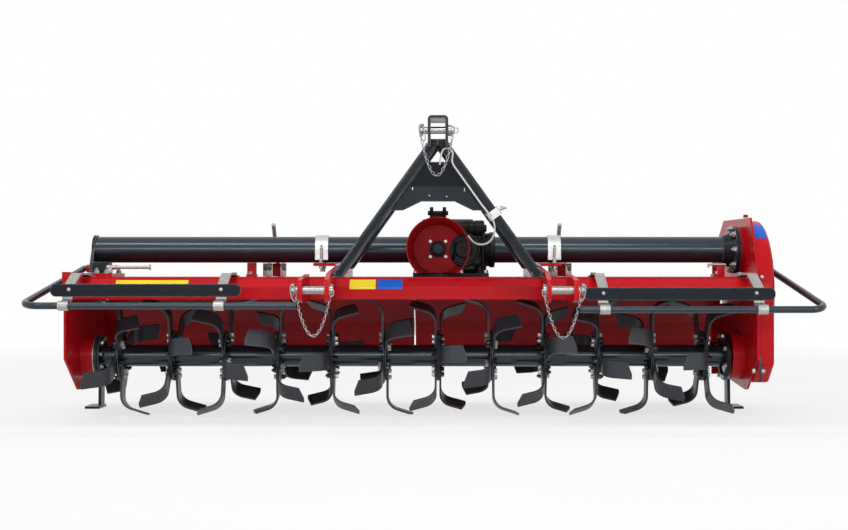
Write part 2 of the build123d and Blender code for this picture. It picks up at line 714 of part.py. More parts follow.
# Saddle straps over the top tube, each drawn down on its bracket by two studs
CLAMP_R_IN = TUBE_R + FIT / 2
CLAMP_FOOT = TUBE_Z - 40.0
with BuildPart() as tube_clamps:
    for side in (-1, 1):
        with BuildSketch(across(side * CLAMP_X - CLAMP_W / 2)):
            with BuildLine():
                inside = CLAMP_R_IN + CLAMP_T / 2
                Line((-inside, CLAMP_FOOT), (-inside, TUBE_Z))
                ThreePointArc((-inside, TUBE_Z), (0, TUBE_Z + inside), (inside, TUBE_Z))
                Line((inside, TUBE_Z), (inside, CLAMP_FOOT))
            trace(line_width=CLAMP_T)
        extrude(amount=CLAMP_W)
save(tube_clamps, "tube_clamps")

NUT_H = 9.0
with BuildPart() as clamp_studs:
    for side in (-1, 1):
        for y in (-STUD_SEAT, STUD_SEAT):
            with BuildSketch(level(TOP_FLANGE_Z - 22)):
                with Locations((side * CLAMP_X, y)):
                    Circle(STUD_R)
            extrude(amount=TUBE_Z + 6 - TOP_FLANGE_Z + 22)
            with BuildSketch(level(TOP_FLANGE_Z - NUT_H - FIT)):
                with Locations((side * CLAMP_X, y)):
                    RegularPolygon(9, 6)
            extrude(amount=NUT_H)
save(clamp_studs, "clamp_studs")

# ================================================================ mast
ARM_FOOT = (HITCH_SPAN / 2 - 82.0, -428.0, 556.0)
ARM_HEAD = (0.0, -470.0, 1041.0)
STAY_FOOT = (HITCH_SPAN / 2 - 89.0, -130.0, 565.0)
STAY_FOOT_Z = 572.0
STAY_HEAD = (4.0, -424.0, 1018.0)


def bar(start, end, width, depth, wall=0.0, corner=8.0):
    """A rectangular bar or tube from start to end, its width square to the side view."""
    run = Vector(*end) - Vector(*start)
    section = Plane(origin=place(*start), x_dir=run.cross(Vector(0, 1, 0)), z_dir=run)
    with BuildPart() as piece:
        with BuildSketch(section):
            RectangleRounded(width, depth, corner)
            if wall:
                RectangleRounded(width - 2 * wall, depth - 2 * wall, corner - wall / 2, mode=Mode.SUBTRACT)
        extrude(amount=run.length)
    return piece.part


def mirrored(point, side):
    return (side * point[0], point[1], point[2])


STAY_W = 32.0
STAY_D = 46.0
HEAD_Z = 1032.0                # arms and stays are mitred off at this height
for side, name in ((-1, "left"), (1, "right")):
    with BuildPart() as other_half:
        with BuildSketch(across(0)):
            Rectangle(4000, 4000)
        extrude(amount=-side * 500)
        with BuildSketch(level(HEAD_Z)):
            Rectangle(1000, 4000)
        extrude(amount=400)
    arm_ends = (mirrored(ARM_FOOT, side), mirrored(ARM_HEAD, side))
    with BuildPart() as mast_arm:
        add(bar(*arm_ends, MAST_W, MAST_D, MAST_WALL, 9))
        with BuildSketch(facing(ARM_FOOT[1] + MAST_D / 2)):
            with Locations((side * ARM_FOOT[0], ARM_FOOT[2])):
                Circle(MAST_W / 2)
        extrude(amount=MAST_D)
        with BuildSketch(axle(side * ARM_FOOT[0], ARM_FOOT[2], ARM_FOOT[1])):
            Circle(MAST_W / 3)
        extrude(amount=side * (HITCH_IN - FIT - ARM_FOOT[0]))
        add(other_half.part, mode=Mode.SUBTRACT)
    save(mast_arm, f"mast_arm_{name}")
    with BuildPart() as mast_stay:
        add(bar(mirrored(STAY_FOOT, side), mirrored(STAY_HEAD, side), STAY_W, STAY_D, MAST_WALL, 6))
        add(bar(*arm_ends, MAST_W + 2 * FIT, MAST_D + FIT, 0, 9), mode=Mode.SUBTRACT)
        add(other_half.part, mode=Mode.SUBTRACT)
        with BuildSketch(level(STAY_FOOT_Z)):
            Rectangle(4000, 4000)
        extrude(amount=-100, mode=Mode.SUBTRACT)
    save(mast_stay, f"mast_stay_{name}")

BRACKET_OUT = TOP_GAP / 2 + TOP_PLATE_T
BRACKET_TOP = TOP_PIN_Z + 50.0
BRACKET_LOW = 999.0
BRACKET_FRONT = TOP_PIN_Y - 36.0
BRACKET_STEP = ARM_HEAD[1] - MAST_D / 2 - 9
BRACKET_REAR = ARM_HEAD[1] + 80.0
with BuildPart() as top_link_bracket:
    for x in (-BRACKET_OUT, TOP_GAP / 2):
        with BuildSketch(across(x)):
            with BuildLine():
                Polyline(
                    (BRACKET_FRONT, BRACKET_LOW), (BRACKET_FRONT, BRACKET_TOP), (BRACKET_REAR, BRACKET_TOP),
                    (BRACKET_REAR, HEAD_Z), (BRACKET_STEP, HEAD_Z), (BRACKET_STEP, BRACKET_LOW),
                    close=True,
                )
            make_face()
        extrude(amount=TOP_PLATE_T)
    with BuildSketch(across(-BRACKET_OUT)):
        with Locations(((BRACKET_FRONT + BRACKET_REAR) / 2, BRACKET_TOP - TOP_PLATE_T / 2)):
            Rectangle(BRACKET_REAR - BRACKET_FRONT, TOP_PLATE_T)
    extrude(amount=2 * BRACKET_OUT)
    with BuildSketch(across(-BRACKET_OUT)):
        with Locations((TOP_PIN_Y, TOP_PIN_Z)):
            Circle(TOP_PIN_R + FIT)
    extrude(amount=2 * BRACKET_OUT, mode=Mode.SUBTRACT)
    fillet(edges().filter_by(Axis.Y).group_by(Axis.Z)[-1], radius=14)
save(top_link_bracket, "top_link_bracket")

with BuildPart() as top_pin:
    with BuildSketch(across(-BRACKET_OUT - 30)):
        with Locations((TOP_PIN_Y, TOP_PIN_Z)):
            Circle(TOP_PIN_R)
    extrude(amount=2 * BRACKET_OUT + 30 + PIN_HEAD)
    with BuildSketch(across(BRACKET_OUT + FIT)):
        with Locations((TOP_PIN_Y, TOP_PIN_Z)):
            Circle(TOP_PIN_R + 7)
    extrude(amount=PIN_HEAD)
save(top_pin, "top_pin")


def arm_at(z):
    """Centre of the right mast arm at height z."""
    share = (z - ARM_FOOT[2]) / (ARM_HEAD[2] - ARM_FOOT[2])
    return [a + share * (b - a) for a, b in zip(ARM_FOOT, ARM_HEAD)]


FOLD_Z = 866.0
WEB_LOW = 780.0
WEB_MID = 812.0
WEB_T = 6.0
WEB_TOP = 953.0
WEB_LEAN = -14.0               # how far the web's upper half leans forward
WEB_FACE = arm_at(FOLD_Z)[1] + 8
ARM_LEAN = atan2(ARM_FOOT[0] - ARM_HEAD[0], ARM_HEAD[2] - ARM_FOOT[2])
ARM_HALF = MAST_W / 2 / cos(ARM_LEAN) + FIT


def web_half(z):
    """Half the clear width between the mast arms at height z."""
    return arm_at(z)[0] - ARM_HALF


with BuildPart() as mast_web:
    with BuildSketch(facing(WEB_FACE)):
        with BuildLine():
            Polyline(
                (-web_half(WEB_LOW), WEB_LOW), (-web_half(WEB_LOW) + 42, WEB_LOW), (-60, WEB_MID),
                (60, WEB_MID), (web_half(WEB_LOW) - 42, WEB_LOW), (web_half(WEB_LOW), WEB_LOW),
                (web_half(FOLD_Z), FOLD_Z), (-web_half(FOLD_Z), FOLD_Z),
                close=True,
            )
        make_face()
    extrude(amount=WEB_T)
    with BuildSketch(across(-200)):
        with BuildLine():
            Polyline(
                (WEB_FACE, FOLD_Z), (WEB_FACE + WEB_LEAN, WEB_TOP),
                (WEB_FACE + WEB_LEAN - WEB_T, WEB_TOP), (WEB_FACE - WEB_T, FOLD_Z),
                close=True,
            )
        make_face()
    extrude(amount=400)
    with BuildSketch(facing(WEB_FACE + 60)):
        with BuildLine():
            Polyline(
                (web_half(FOLD_Z), FOLD_Z), (web_half(WEB_TOP), WEB_TOP), (300, WEB_TOP),
                (300, FOLD_Z),
                close=True,
            )
        make_face()
        mirror(about=Plane.YZ)
    extrude(amount=120, mode=Mode.SUBTRACT)
save(mast_web, "mast_web")

STAY_FOOT_HALF = 30.0
with BuildPart() as stay_brackets:
    for side in (-1, 1):
        with BuildSketch(level(HOOD_Z)):
            with Locations((side * STAY_FOOT[0], STAY_FOOT[1])):
                Rectangle(40, 2 * STAY_FOOT_HALF)
        extrude(amount=STAY_FOOT_Z - HOOD_Z)
save(stay_brackets, "stay_brackets")

# Bent wire that holds the drive shaft up, clipped to the right mast arm
WIRE_R = 3.0
WIRE_FACE = MAST_D / 2 + WIRE_R + 4 * FIT


def before_arm(inwards, z, ahead=0.0):
    """A wire point on the front face of the right mast arm, or ahead of it."""
    x, y, _ = arm_at(z)
    return place(x - inwards, y - WIRE_FACE - ahead, z)


HOOK_X = arm_at(754)[0] - 4
WIRE_ROUTE = [
    before_arm(67, 940, 6), before_arm(31, 985, 1), before_arm(-2, 1006, 1), before_arm(-18, 990, 1),
    before_arm(14, 956, 1), before_arm(20, 938, 1), before_arm(20, 792, 1), before_arm(14, 754, 1),
    place(HOOK_X, -462, 706), place(HOOK_X - 22, -412, 656), place(HOOK_X - 66, -350, 660),
    place(HOOK_X - 93, -290, 694),
]
WIRE_BENDS = (26, 12, 12, 14, 26, 60, 30, 30, 34, 34)
wire_start = Vector(*WIRE_ROUTE[0])
wire_end = Plane(origin=wire_start, z_dir=Vector(*WIRE_ROUTE[1]) - wire_start)
with BuildLine() as wire_line:
    FilletPolyline(*WIRE_ROUTE, radius=WIRE_BENDS)
with BuildPart() as shaft_holder:
    with BuildSketch(wire_end):
        Circle(WIRE_R)
    sweep(path=wire_line.wires()[0])
save(shaft_holder, "shaft_holder")

CLIP_W = 30.0
CLIP_T = 7.5
CLIP_Z = 768.0
with BuildPart() as wire_room:
    with BuildSketch(wire_end):
        Circle(WIRE_R + FIT)
    sweep(path=wire_line.wires()[0])
with BuildPart() as holder_clamp:
    run = Vector(*ARM_HEAD) - Vector(*ARM_FOOT)
    section = Plane(origin=place(*arm_at(CLIP_Z)), x_dir=run.cross(Vector(0, 1, 0)), z_dir=run)
    with BuildSketch(section):
        RectangleRounded(MAST_W + 2 * CLIP_T, MAST_D + 2 * CLIP_T, 12)
        RectangleRounded(MAST_W + FIT, MAST_D + FIT, 9, mode=Mode.SUBTRACT)
    extrude(amount=CLIP_W / 2, both=True)
    add(wire_room.part, mode=Mode.SUBTRACT)
save(holder_clamp, "holder_clamp")

# ================================================================ front guard
FLAT_Y = -524.0                # rear face of the deflector flats
STRAP_SEAT = FLAT_Y + STRAP_T / 2 + FIT
STRAP_BENDS = (30, 60, 60, 26, 10)
STRAP_ARCH = 12.0              # how far a strap rises off the hood
DROPS = (0.0, 0.0, GUARD_DROP, GUARD_DROP)
with BuildPart() as guard_straps:
    for x, drop in zip(STRAP_X, DROPS):
        with BuildSketch(across(x - STRAP_W / 2)):
            with BuildLine():
                FilletPolyline(
                    (-190, HOOD_Z + STRAP_T / 2), (-228, HOOD_Z + STRAP_T / 2),
                    (-318, HOOD_Z + STRAP_ARCH), (-400, HOOD_Z + STRAP_ARCH),
                    (STRAP_SEAT, HOOD_Z - 41),
                    (STRAP_SEAT, FLAT_LOW - 11 - drop),
                    (GUARD_BAR_Y + 18, GUARD_BAR_Z + 5 - drop),
                    radius=STRAP_BENDS,
                )
            trace(line_width=STRAP_T)
        extrude(amount=STRAP_W)
save(guard_straps, "guard_straps")

CLAMP_R = GUARD_BAR_R + 5.0
with BuildPart() as guard_clamps:
    for x, drop in zip(STRAP_X, DROPS):
        with BuildSketch(across(x - STRAP_W / 2)):
            with Locations((GUARD_BAR_Y, GUARD_BAR_Z - drop)):
                Circle(CLAMP_R)
                Circle(GUARD_BAR_R + FIT / 2, mode=Mode.SUBTRACT)
        extrude(amount=STRAP_W)
save(guard_clamps, "guard_clamps")

GUARD_WALL_T = 3.0
GUARD_BEND_R = 55.0
SEAT_LEFT = (60.0, 573.0)      # (y, z) where a bar's rear end is bolted on
SEAT_RIGHT = (60.0, 600.0)
BAR_OUT = GUARD_BAR_R + FIT
CASE_FACE = REACH_RIGHT + PLATE_T + CASE_WIDTH
for side, name, reach, face, bar_z, seat in (
    (-1, "guard_bar_left", GUARD_BAR_LEFT, REACH_LEFT, GUARD_BAR_Z, SEAT_LEFT),
    (1, "guard_bar_right", GUARD_BAR_RIGHT, CASE_FACE, GUARD_BAR_Z - GUARD_DROP, SEAT_RIGHT),
):
    back = hypot(seat[0] - GUARD_BAR_Y, seat[1] - bar_z)
    turn = radians(90) + atan2(reach - face, back)
    corner = reach - GUARD_BAR_R + GUARD_BEND_R * (sin(turn / 2) / cos(turn / 2) - 1)
    with BuildPart() as guard_bar:
        with BuildLine() as route:
            FilletPolyline(
                place(side * GUARD_BAR_INNER, GUARD_BAR_Y, bar_z),
                place(side * corner, GUARD_BAR_Y, bar_z),
                place(side * (face + BAR_OUT), *seat),
                radius=GUARD_BEND_R,
            )
        with BuildSketch(axle(side * GUARD_BAR_INNER, bar_z, GUARD_BAR_Y)):
            Circle(GUARD_BAR_R)
            Circle(GUARD_BAR_R - GUARD_WALL_T, mode=Mode.SUBTRACT)
        sweep(path=route.wires()[0])
    save(guard_bar, name)

with BuildPart() as guard_boss:
    with BuildSketch(axle(-REACH_LEFT, SEAT_LEFT[1], SEAT_LEFT[0] - 14)):
        Circle(15)
    extrude(amount=REACH_LEFT + TUBE_END_LEFT)
save(guard_boss, "guard_boss")

for name, left, right, drop in (
    ("deflector_left", -REACH_LEFT + 15.0, STRAP_X[1] + 70.0, 0.0),
    ("deflector_right", STRAP_X[2] - 68.0, REACH_RIGHT + 10.0, GUARD_DROP),
):
    with BuildPart() as deflector:
        with BuildSketch(facing(FLAT_Y)):
            with Locations(((left + right) / 2, (FLAT_LOW + FLAT_HIGH) / 2 - drop)):
                RectangleRounded(right - left, FLAT_HIGH - FLAT_LOW, 20)
        extrude(amount=FLAT_T)
    save(deflector, name)

# ================================================================ parking legs
LEG_W = 60.0
LEG_T = 12.0
FOOT_LONG = 120.0
FOOT_WIDE = 60.0
FOOT_T = 10.0
FOOT_LEAD = 18.0               # foot stands this far ahead of the pivot
LEG_FACES = (
    ("left", -1, REACH_LEFT),
    ("right", 1, REACH_RIGHT + PLATE_T),
)
for name, side, face in LEG_FACES:
    inner = side * (face + FIT)
    with BuildPart() as leg:
        with BuildSketch(across(inner)):
            with BuildLine():
                Polyline(
                    (LEG_Y - LEG_W / 2, LEG_Z), (LEG_Y - FOOT_LEAD - LEG_W / 2, FOOT_T / 2),
                    (LEG_Y - FOOT_LEAD + LEG_W / 2, FOOT_T / 2), (LEG_Y + LEG_W / 2, LEG_Z),
                    close=True,
                )
            make_face()
            with Locations((LEG_Y, LEG_Z)):
                Circle(LEG_W / 2)
                Circle(LEG_PIN_R + FIT, mode=Mode.SUBTRACT)
        extrude(amount=side * LEG_T)
        with BuildSketch(across(inner)):
            with Locations((LEG_Y - FOOT_LEAD, FOOT_T / 2)):
                Rectangle(FOOT_LONG, FOOT_T)
        extrude(amount=side * FOOT_WIDE)
    save(leg, f"parking_leg_{name}")

with BuildPart() as leg_pins:
    for name, side, face in LEG_FACES:
        with BuildSketch(across(side * face)):
            with Locations((LEG_Y, LEG_Z)):
                Circle(LEG_PIN_R)
        extrude(amount=side * (LEG_T + 2 * FIT + 1))
        with BuildSketch(across(side * (face + LEG_T + 2 * FIT))):
            with Locations((LEG_Y, LEG_Z)):
                Circle(LEG_PIN_R + 7)
        extrude(amount=side * 6)
save(leg_pins, "leg_pins")

# ================================================================ adjusting rods
SEAT_Y = 190.0                 # top of a bracket's cheeks, where a rod's crosshead rests
SEAT_Z = 640.0
SEAT_R = 22.0
CHEEK_IN = 24.0
CHEEK_T = 8.0
HEAD_R = 14.0                  # crosshead across the top of the two cheeks
COLLAR_R = 20.0
COLLAR_LONG = 30.0
EYE_T = 16.0
ROD_END_Z = 747.0
ROD_RUN = Vector(0, SEAT_Y - LUG_Y, SEAT_Z - LUG_Z)
for name, x in zip(("adjusting_rod_left", "adjusting_rod_right"), ROD_X):
    along = ROD_RUN.normalized()
    section = Plane(origin=place(x, LUG_Y, LUG_Z), x_dir=(1, 0, 0), z_dir=along)
    head = along * (ROD_RUN.length + SEAT_R + HEAD_R + FIT)
    with BuildPart() as rod:
        with BuildSketch(section):
            Circle(ROD_R)
        extrude(amount=(ROD_END_Z - LUG_Z) / along.Z)
        with BuildSketch(axle(x - CHEEK_IN - CHEEK_T, LUG_Z + head.Z, LUG_Y + head.Y)):
            Circle(HEAD_R)
        extrude(amount=2 * (CHEEK_IN + CHEEK_T))
        with BuildSketch(section.offset(head.length)):
            Circle(COLLAR_R)
        extrude(amount=COLLAR_LONG)
        with BuildSketch(across(x - EYE_T / 2)):
            with Locations((LUG_Y, LUG_Z)):
                Circle(EYE_R)
        extrude(amount=EYE_T)
        with BuildSketch(across(x - EYE_T / 2)):
            with Locations((LUG_Y, LUG_Z)):
                Circle(EYE_PIN_R + FIT)
        extrude(amount=EYE_T, mode=Mode.SUBTRACT)
    save(rod, name)

with BuildPart() as rod_brackets:
    for x in ROD_X:
        for side in (-CHEEK_IN - CHEEK_T, CHEEK_IN):
            with BuildSketch(across(x + side)):
                with BuildLine():
                    Polyline(
                        (SEAT_Y - 84, HOOD_Z), (HOOD_BEND_Y - 26, HOOD_Z), (SEAT_Y + 16, SEAT_Z),
                        (SEAT_Y - 18, SEAT_Z + 10),
                        close=True,
                    )
                make_face()
                with Locations((SEAT_Y, SEAT_Z)):
                    Circle(SEAT_R)
            extrude(amount=CHEEK_T)
save(rod_brackets, "rod_brackets")
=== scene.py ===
"""Rotary tiller: paint, fasteners, pins, chains, blank stickers and light round the CAD frame.

Places are given as in the part: millimetres from the hitch centre line (x), from the
rotor's axis (y, to the rear) and from the ground (z).  spot() turns them into metres.
"""

import bpy
import json
import math
from mathutils import Matrix, Vector

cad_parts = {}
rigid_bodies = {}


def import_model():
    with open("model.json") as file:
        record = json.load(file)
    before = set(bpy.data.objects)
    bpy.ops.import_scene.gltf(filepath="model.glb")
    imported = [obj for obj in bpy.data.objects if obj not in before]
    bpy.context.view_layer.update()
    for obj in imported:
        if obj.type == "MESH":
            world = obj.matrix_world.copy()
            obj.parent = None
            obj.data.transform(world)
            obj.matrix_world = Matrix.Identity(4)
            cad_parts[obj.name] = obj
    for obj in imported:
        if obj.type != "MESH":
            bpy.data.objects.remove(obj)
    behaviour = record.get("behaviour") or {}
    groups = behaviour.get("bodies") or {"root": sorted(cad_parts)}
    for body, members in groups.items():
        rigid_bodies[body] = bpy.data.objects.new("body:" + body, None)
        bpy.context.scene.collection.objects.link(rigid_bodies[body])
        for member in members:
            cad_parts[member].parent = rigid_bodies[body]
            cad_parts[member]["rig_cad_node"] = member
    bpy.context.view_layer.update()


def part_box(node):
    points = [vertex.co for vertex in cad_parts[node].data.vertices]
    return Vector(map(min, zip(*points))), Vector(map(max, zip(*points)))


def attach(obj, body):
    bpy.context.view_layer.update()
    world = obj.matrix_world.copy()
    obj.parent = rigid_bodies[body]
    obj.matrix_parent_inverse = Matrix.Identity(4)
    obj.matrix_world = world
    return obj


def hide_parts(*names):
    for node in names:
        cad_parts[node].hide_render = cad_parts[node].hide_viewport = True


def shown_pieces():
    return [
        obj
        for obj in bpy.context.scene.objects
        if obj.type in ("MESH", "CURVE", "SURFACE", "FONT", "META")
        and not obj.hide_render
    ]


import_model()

MM = 0.001
HITCH_X = 49.0                 # hitch centre line, from the frame's origin
ROTOR_Y = 35.25                # rotor axis, from the frame's origin
AXIS_Z = 233.2                 # rotor axis above the ground
UP = Vector((0, 0, 1))
FORWARD = Vector((0, -1, 0))
RIGHT = Vector((1, 0, 0))
LEFT = Vector((-1, 0, 0))
REARWARD = Vector((0, 1, 0))
AMBIENT = 0.25                 # light that the surround throws on the machine

# Places that several pieces share, in the part's own measures
SHAFT_Z = 647                  # middle of the input shaft
TUBE_Z = 646                   # middle of the top tube
CASE_Z = 478                   # middle of the drive case's round top
COVER_LOW_Z = 420              # middle of the round foot of the case's cover
CLAMP_X = 450                  # the tube's clamps, to either side
ROD_X = (-652, 482)            # the boards' adjusting rods, left and right
TOP_PIN_Y, TOP_PIN_Z = -532, 1059
LATCH_Y, LATCH_Z = -128, 577   # middle of the left latch's rod
GEARBOX_TOP = 749.2            # seat of the screws in the gearbox's cover


def spot(x, y, z):
    """A place in the part's own measures, as metres in the frame."""
    return Vector((x + HITCH_X, y + ROTOR_Y, z)) * MM


def span(node):
    """Low and high corner of a CAD node in the part's own measures."""
    low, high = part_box(node)
    shift = Vector((HITCH_X, ROTOR_Y, 0))
    return Vector(low) / MM - shift, Vector(high) / MM - shift


# ------------------------------------------------------------------ modelling helpers
def only(*objects):
    """Selects just these objects; the first one is active."""
    if bpy.context.object and bpy.context.object.mode != "OBJECT":
        bpy.ops.object.mode_set(mode="OBJECT")
    bpy.ops.object.select_all(action="DESELECT")
    for obj in objects:
        obj.select_set(True)
    bpy.context.view_layer.objects.active = objects[0]


def edit(obj):
    """Opens a mesh in edit mode with everything selected."""
    only(obj)
    bpy.ops.object.mode_set(mode="EDIT")
    bpy.ops.mesh.select_all(action="SELECT")


def pick(obj, chosen):
    """Selects, in edit mode, just the corners whose number and place the rule chooses."""
    bpy.ops.mesh.select_all(action="DESELECT")
    bpy.ops.object.mode_set(mode="OBJECT")
    for number, vertex in enumerate(obj.data.vertices):
        vertex.select = chosen(number, vertex.co)
    bpy.ops.object.mode_set(mode="EDIT")


def close(obj):
    """Merges doubles, points the faces outwards and leaves edit mode."""
    bpy.ops.mesh.select_all(action="SELECT")
    bpy.ops.mesh.remove_doubles(threshold=0.00002)
    bpy.ops.mesh.normals_make_consistent(inside=False)
    bpy.ops.object.mode_set(mode="OBJECT")
    return obj


def smooth(obj, degrees=35):
    """Smooth shading that keeps the edges sharper than the angle."""
    only(obj)
    bpy.ops.object.shade_smooth_by_angle(angle=math.radians(degrees))
    return obj


def move_to(obj, where, way=UP, turn=0.0):
    """Turns a piece modelled along +Z to point along way, puts it at where, and applies both."""
    tilt = Vector(way).to_track_quat("Z", "Y").to_matrix().to_4x4()
    if Vector(way).normalized().z > 0.9999:
        tilt = Matrix.Identity(4)
    obj.matrix_world = Matrix.Translation(where) @ tilt @ Matrix.Rotation(turn, 4, "Z")
    only(obj)
    bpy.ops.object.transform_apply(location=True, rotation=True, scale=True)
    return obj


def placed(solid, where, way, degrees=30):
    """Shades a solid smooth and moves it to its place, pointing along way."""
    return move_to(smooth(solid, degrees), where, way)


def turned(steps, sides=24):
    """A turned solid along +Z from (height, radius) steps in mm; six sides make a nut."""
    height, radius = steps[0]
    bpy.ops.object.select_all(action="DESELECT")
    bpy.ops.mesh.primitive_circle_add(
        vertices=sides, radius=radius * MM, fill_type="NGON", location=(0, 0, height * MM)
    )
    obj = bpy.context.object
    bpy.ops.object.transform_apply(location=True)
    edit(obj)
    for (z0, r0), (z1, r1) in zip(steps, steps[1:]):
        bpy.ops.mesh.extrude_region_move(TRANSFORM_OT_translate={"value": (0, 0, (z1 - z0) * MM)})
        scale = r1 / r0
        bpy.ops.transform.resize(value=(scale, scale, 1), center_override=(0, 0, z1 * MM))
    return close(obj)


def ring(steps, sides=32):
    """A turned ring along +Z: the (height, radius) steps run round its section and close."""
    height, radius = steps[0]
    bpy.ops.object.select_all(action="DESELECT")
    bpy.ops.mesh.primitive_circle_add(
        vertices=sides, radius=radius * MM, fill_type="NOTHING", location=(0, 0, height * MM)
    )
    obj = bpy.context.object
    bpy.ops.object.transform_apply(location=True)
    edit(obj)
    loop = list(steps) + [steps[0]]
    for (z0, r0), (z1, r1) in zip(loop, loop[1:]):
        bpy.ops.mesh.extrude_edges_move(TRANSFORM_OT_translate={"value": (0, 0, (z1 - z0) * MM)})
        scale = r1 / r0
        bpy.ops.transform.resize(value=(scale, scale, 1), center_override=(0, 0, z1 * MM))
    return close(obj)


def rod(points, radius, closed=False, sides=3):
    """A round wire through places in metres, its corners rounded off."""
    bpy.ops.object.select_all(action="DESELECT")
    bpy.ops.mesh.primitive_plane_add(size=0.01, location=(0, 0, 0))
    obj = bpy.context.object
    edit(obj)
    bpy.ops.mesh.merge(type="CENTER")
    bpy.ops.transform.translate(value=points[0])
    for before, after in zip(points, points[1:]):
        bpy.ops.mesh.extrude_region_move(
            TRANSFORM_OT_translate={"value": Vector(after) - Vector(before)}
        )
    if closed:
        bpy.ops.mesh.select_all(action="SELECT")
        bpy.ops.mesh.remove_doubles(threshold=0.00001)
    bpy.ops.object.mode_set(mode="OBJECT")
    bpy.ops.object.convert(target="CURVE")
    obj = bpy.context.object
    bpy.ops.object.mode_set(mode="EDIT")
    bpy.ops.curve.select_all(action="SELECT")
    bpy.ops.curve.spline_type_set(type="NURBS")
    bpy.ops.object.mode_set(mode="OBJECT")
    for spline in obj.data.splines:
        spline.use_cyclic_u = closed
        spline.order_u = 3
        spline.use_endpoint_u = not closed
        spline.resolution_u = 4
    obj.data.bevel_depth = radius * MM
    obj.data.bevel_resolution = sides
    obj.data.use_fill_caps = not closed
    bpy.ops.object.convert(target="MESH")
    wire = bpy.context.object
    edit(wire)
    return smooth(close(wire), 50)


def block(size, rounding=0.0, segments=3):
    """A block of size (x, y, z) in mm round the origin, its edges bevelled."""
    bpy.ops.object.select_all(action="DESELECT")
    bpy.ops.mesh.primitive_cube_add(size=1, scale=[s * MM for s in size])
    obj = bpy.context.object
    bpy.ops.object.transform_apply(location=True, rotation=True, scale=True)
    edit(obj)
    if rounding:
        bpy.ops.mesh.bevel(offset=rounding * MM, segments=segments, affect="EDGES")
    return smooth(close(obj), 40)


def copies(master, places):
    """Copies of a piece, each with its own mesh; places hold (where, way, turn)."""
    made = []
    for where, way, turn in places:
        twin = master.copy()
        twin.data = master.data.copy()
        bpy.context.collection.objects.link(twin)
        made.append(move_to(twin, where, way, turn))
    bpy.data.objects.remove(master)
    return made


def joined(name, pieces, body, material):
    """Joins pieces into one named piece of a body and gives it its material and slot."""
    only(*pieces)
    if len(pieces) > 1:
        bpy.ops.object.join()
    obj = bpy.context.object
    obj.name = name
    obj.data.name = name
    obj.data.materials.clear()
    obj.data.materials.append(material)
    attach(obj, body)
    return obj


# ------------------------------------------------------------------ materials
class Graph:
    """A material under construction."""

    def __init__(self, name):
        self.material = bpy.data.materials.new(name)
        self.material.use_nodes = True
        self.tree = self.material.node_tree
        self.tree.nodes.clear()
        self.out = self.add("ShaderNodeOutputMaterial")
        self.surface = self.add("ShaderNodeBsdfPrincipled")
        self.link(self.surface.outputs["BSDF"], self.out.inputs["Surface"])
        self.place = self.add("ShaderNodeTexCoord").outputs["Object"]

    def add(self, kind, **values):
        node = self.tree.nodes.new(kind)
        for key, value in values.items():
            setattr(node, key, value)
        return node

    def link(self, source, target):
        self.tree.links.new(source, target)

    def noise(self, scale, detail=4.0, rough=0.55, stretch=None):
        """Noise in the piece's own metres; stretch squeezes it along the axes."""
        node = self.add("ShaderNodeTexNoise")
        node.inputs["Scale"].default_value = scale
        node.inputs["Detail"].default_value = detail
        node.inputs["Roughness"].default_value = rough
        source = self.place
        if stretch:
            mapping = self.add("ShaderNodeMapping")
            mapping.inputs["Scale"].default_value = stretch
            self.link(source, mapping.inputs["Vector"])
            source = mapping.outputs["Vector"]
        self.link(source, node.inputs["Vector"])
        return node.outputs["Fac"]

    def range(self, source, low, high, to_low, to_high):
        """Maps low to high on to the range from to_low to to_high."""
        node = self.add("ShaderNodeMapRange")
        ends = (("From Min", low), ("From Max", high), ("To Min", to_low), ("To Max", to_high))
        for key, value in ends:
            node.inputs[key].default_value = value
        self.link(source, node.inputs["Value"])
        return node.outputs["Result"]

    def mix(self, factor, low, high):
        """Mixes two colours; a colour is a tuple or another node's output."""
        node = self.add("ShaderNodeMix", data_type="RGBA")
        self.link(factor, node.inputs["Factor"])
        for key, colour in (("A", low), ("B", high)):
            socket = next(s for s in node.inputs if s.name == key and s.type == "RGBA")
            if isinstance(colour, tuple):
                socket.default_value = (*colour, 1.0)
            else:
                self.link(colour, socket)
        return next(s for s in node.outputs if s.type == "RGBA")

    def bump(self, source, strength, distance, after=None):
        """Raises the surface in the shading by a height; after is the normal to start from."""
        node = self.add("ShaderNodeBump")
        node.inputs["Strength"].default_value = strength
        node.inputs["Distance"].default_value = distance
        self.link(source, node.inputs["Height"])
        if after is not None:
            self.link(after, node.inputs["Normal"])
        return node.outputs["Normal"]

    def rounded(self, radius):
        """Softens sharp edges in the shading, as a rolled or painted edge is."""
        node = self.add("ShaderNodeBevel", samples=4)
        node.inputs["Radius"].default_value = radius
        return node.outputs["Normal"]

    def edge(self, radius):
        """Is 1 near sharp edges and 0 on flats."""
        bevel = self.rounded(radius)
        dot = self.add("ShaderNodeVectorMath", operation="DOT_PRODUCT")
        self.link(bevel, dot.inputs[0])
        self.link(self.add("ShaderNodeNewGeometry").outputs["Normal"], dot.inputs[1])
        return self.range(dot.outputs["Value"], 0.995, 0.93, 0.0, 1.0)

    def finish(self, colour, rough, normal, metal=0.0, coat=0.0, coat_rough=0.1, specular=0.5):
        """Feeds the shader: outputs are linked, plain values are set on its own sockets."""
        surface = self.surface.inputs
        for key, value in (("Base Color", colour), ("Roughness", rough), ("Normal", normal)):
            if value is not None and not isinstance(value, (tuple, float)):
                self.link(value, surface[key])
            elif isinstance(value, tuple):
                surface[key].default_value = (*value, 1.0)
            elif value is not None:
                surface[key].default_value = value
        surface["Metallic"].default_value = metal
        surface["Coat Weight"].default_value = coat
        surface["Coat Roughness"].default_value = coat_rough
        surface["Specular IOR Level"].default_value = specular
        return self.material


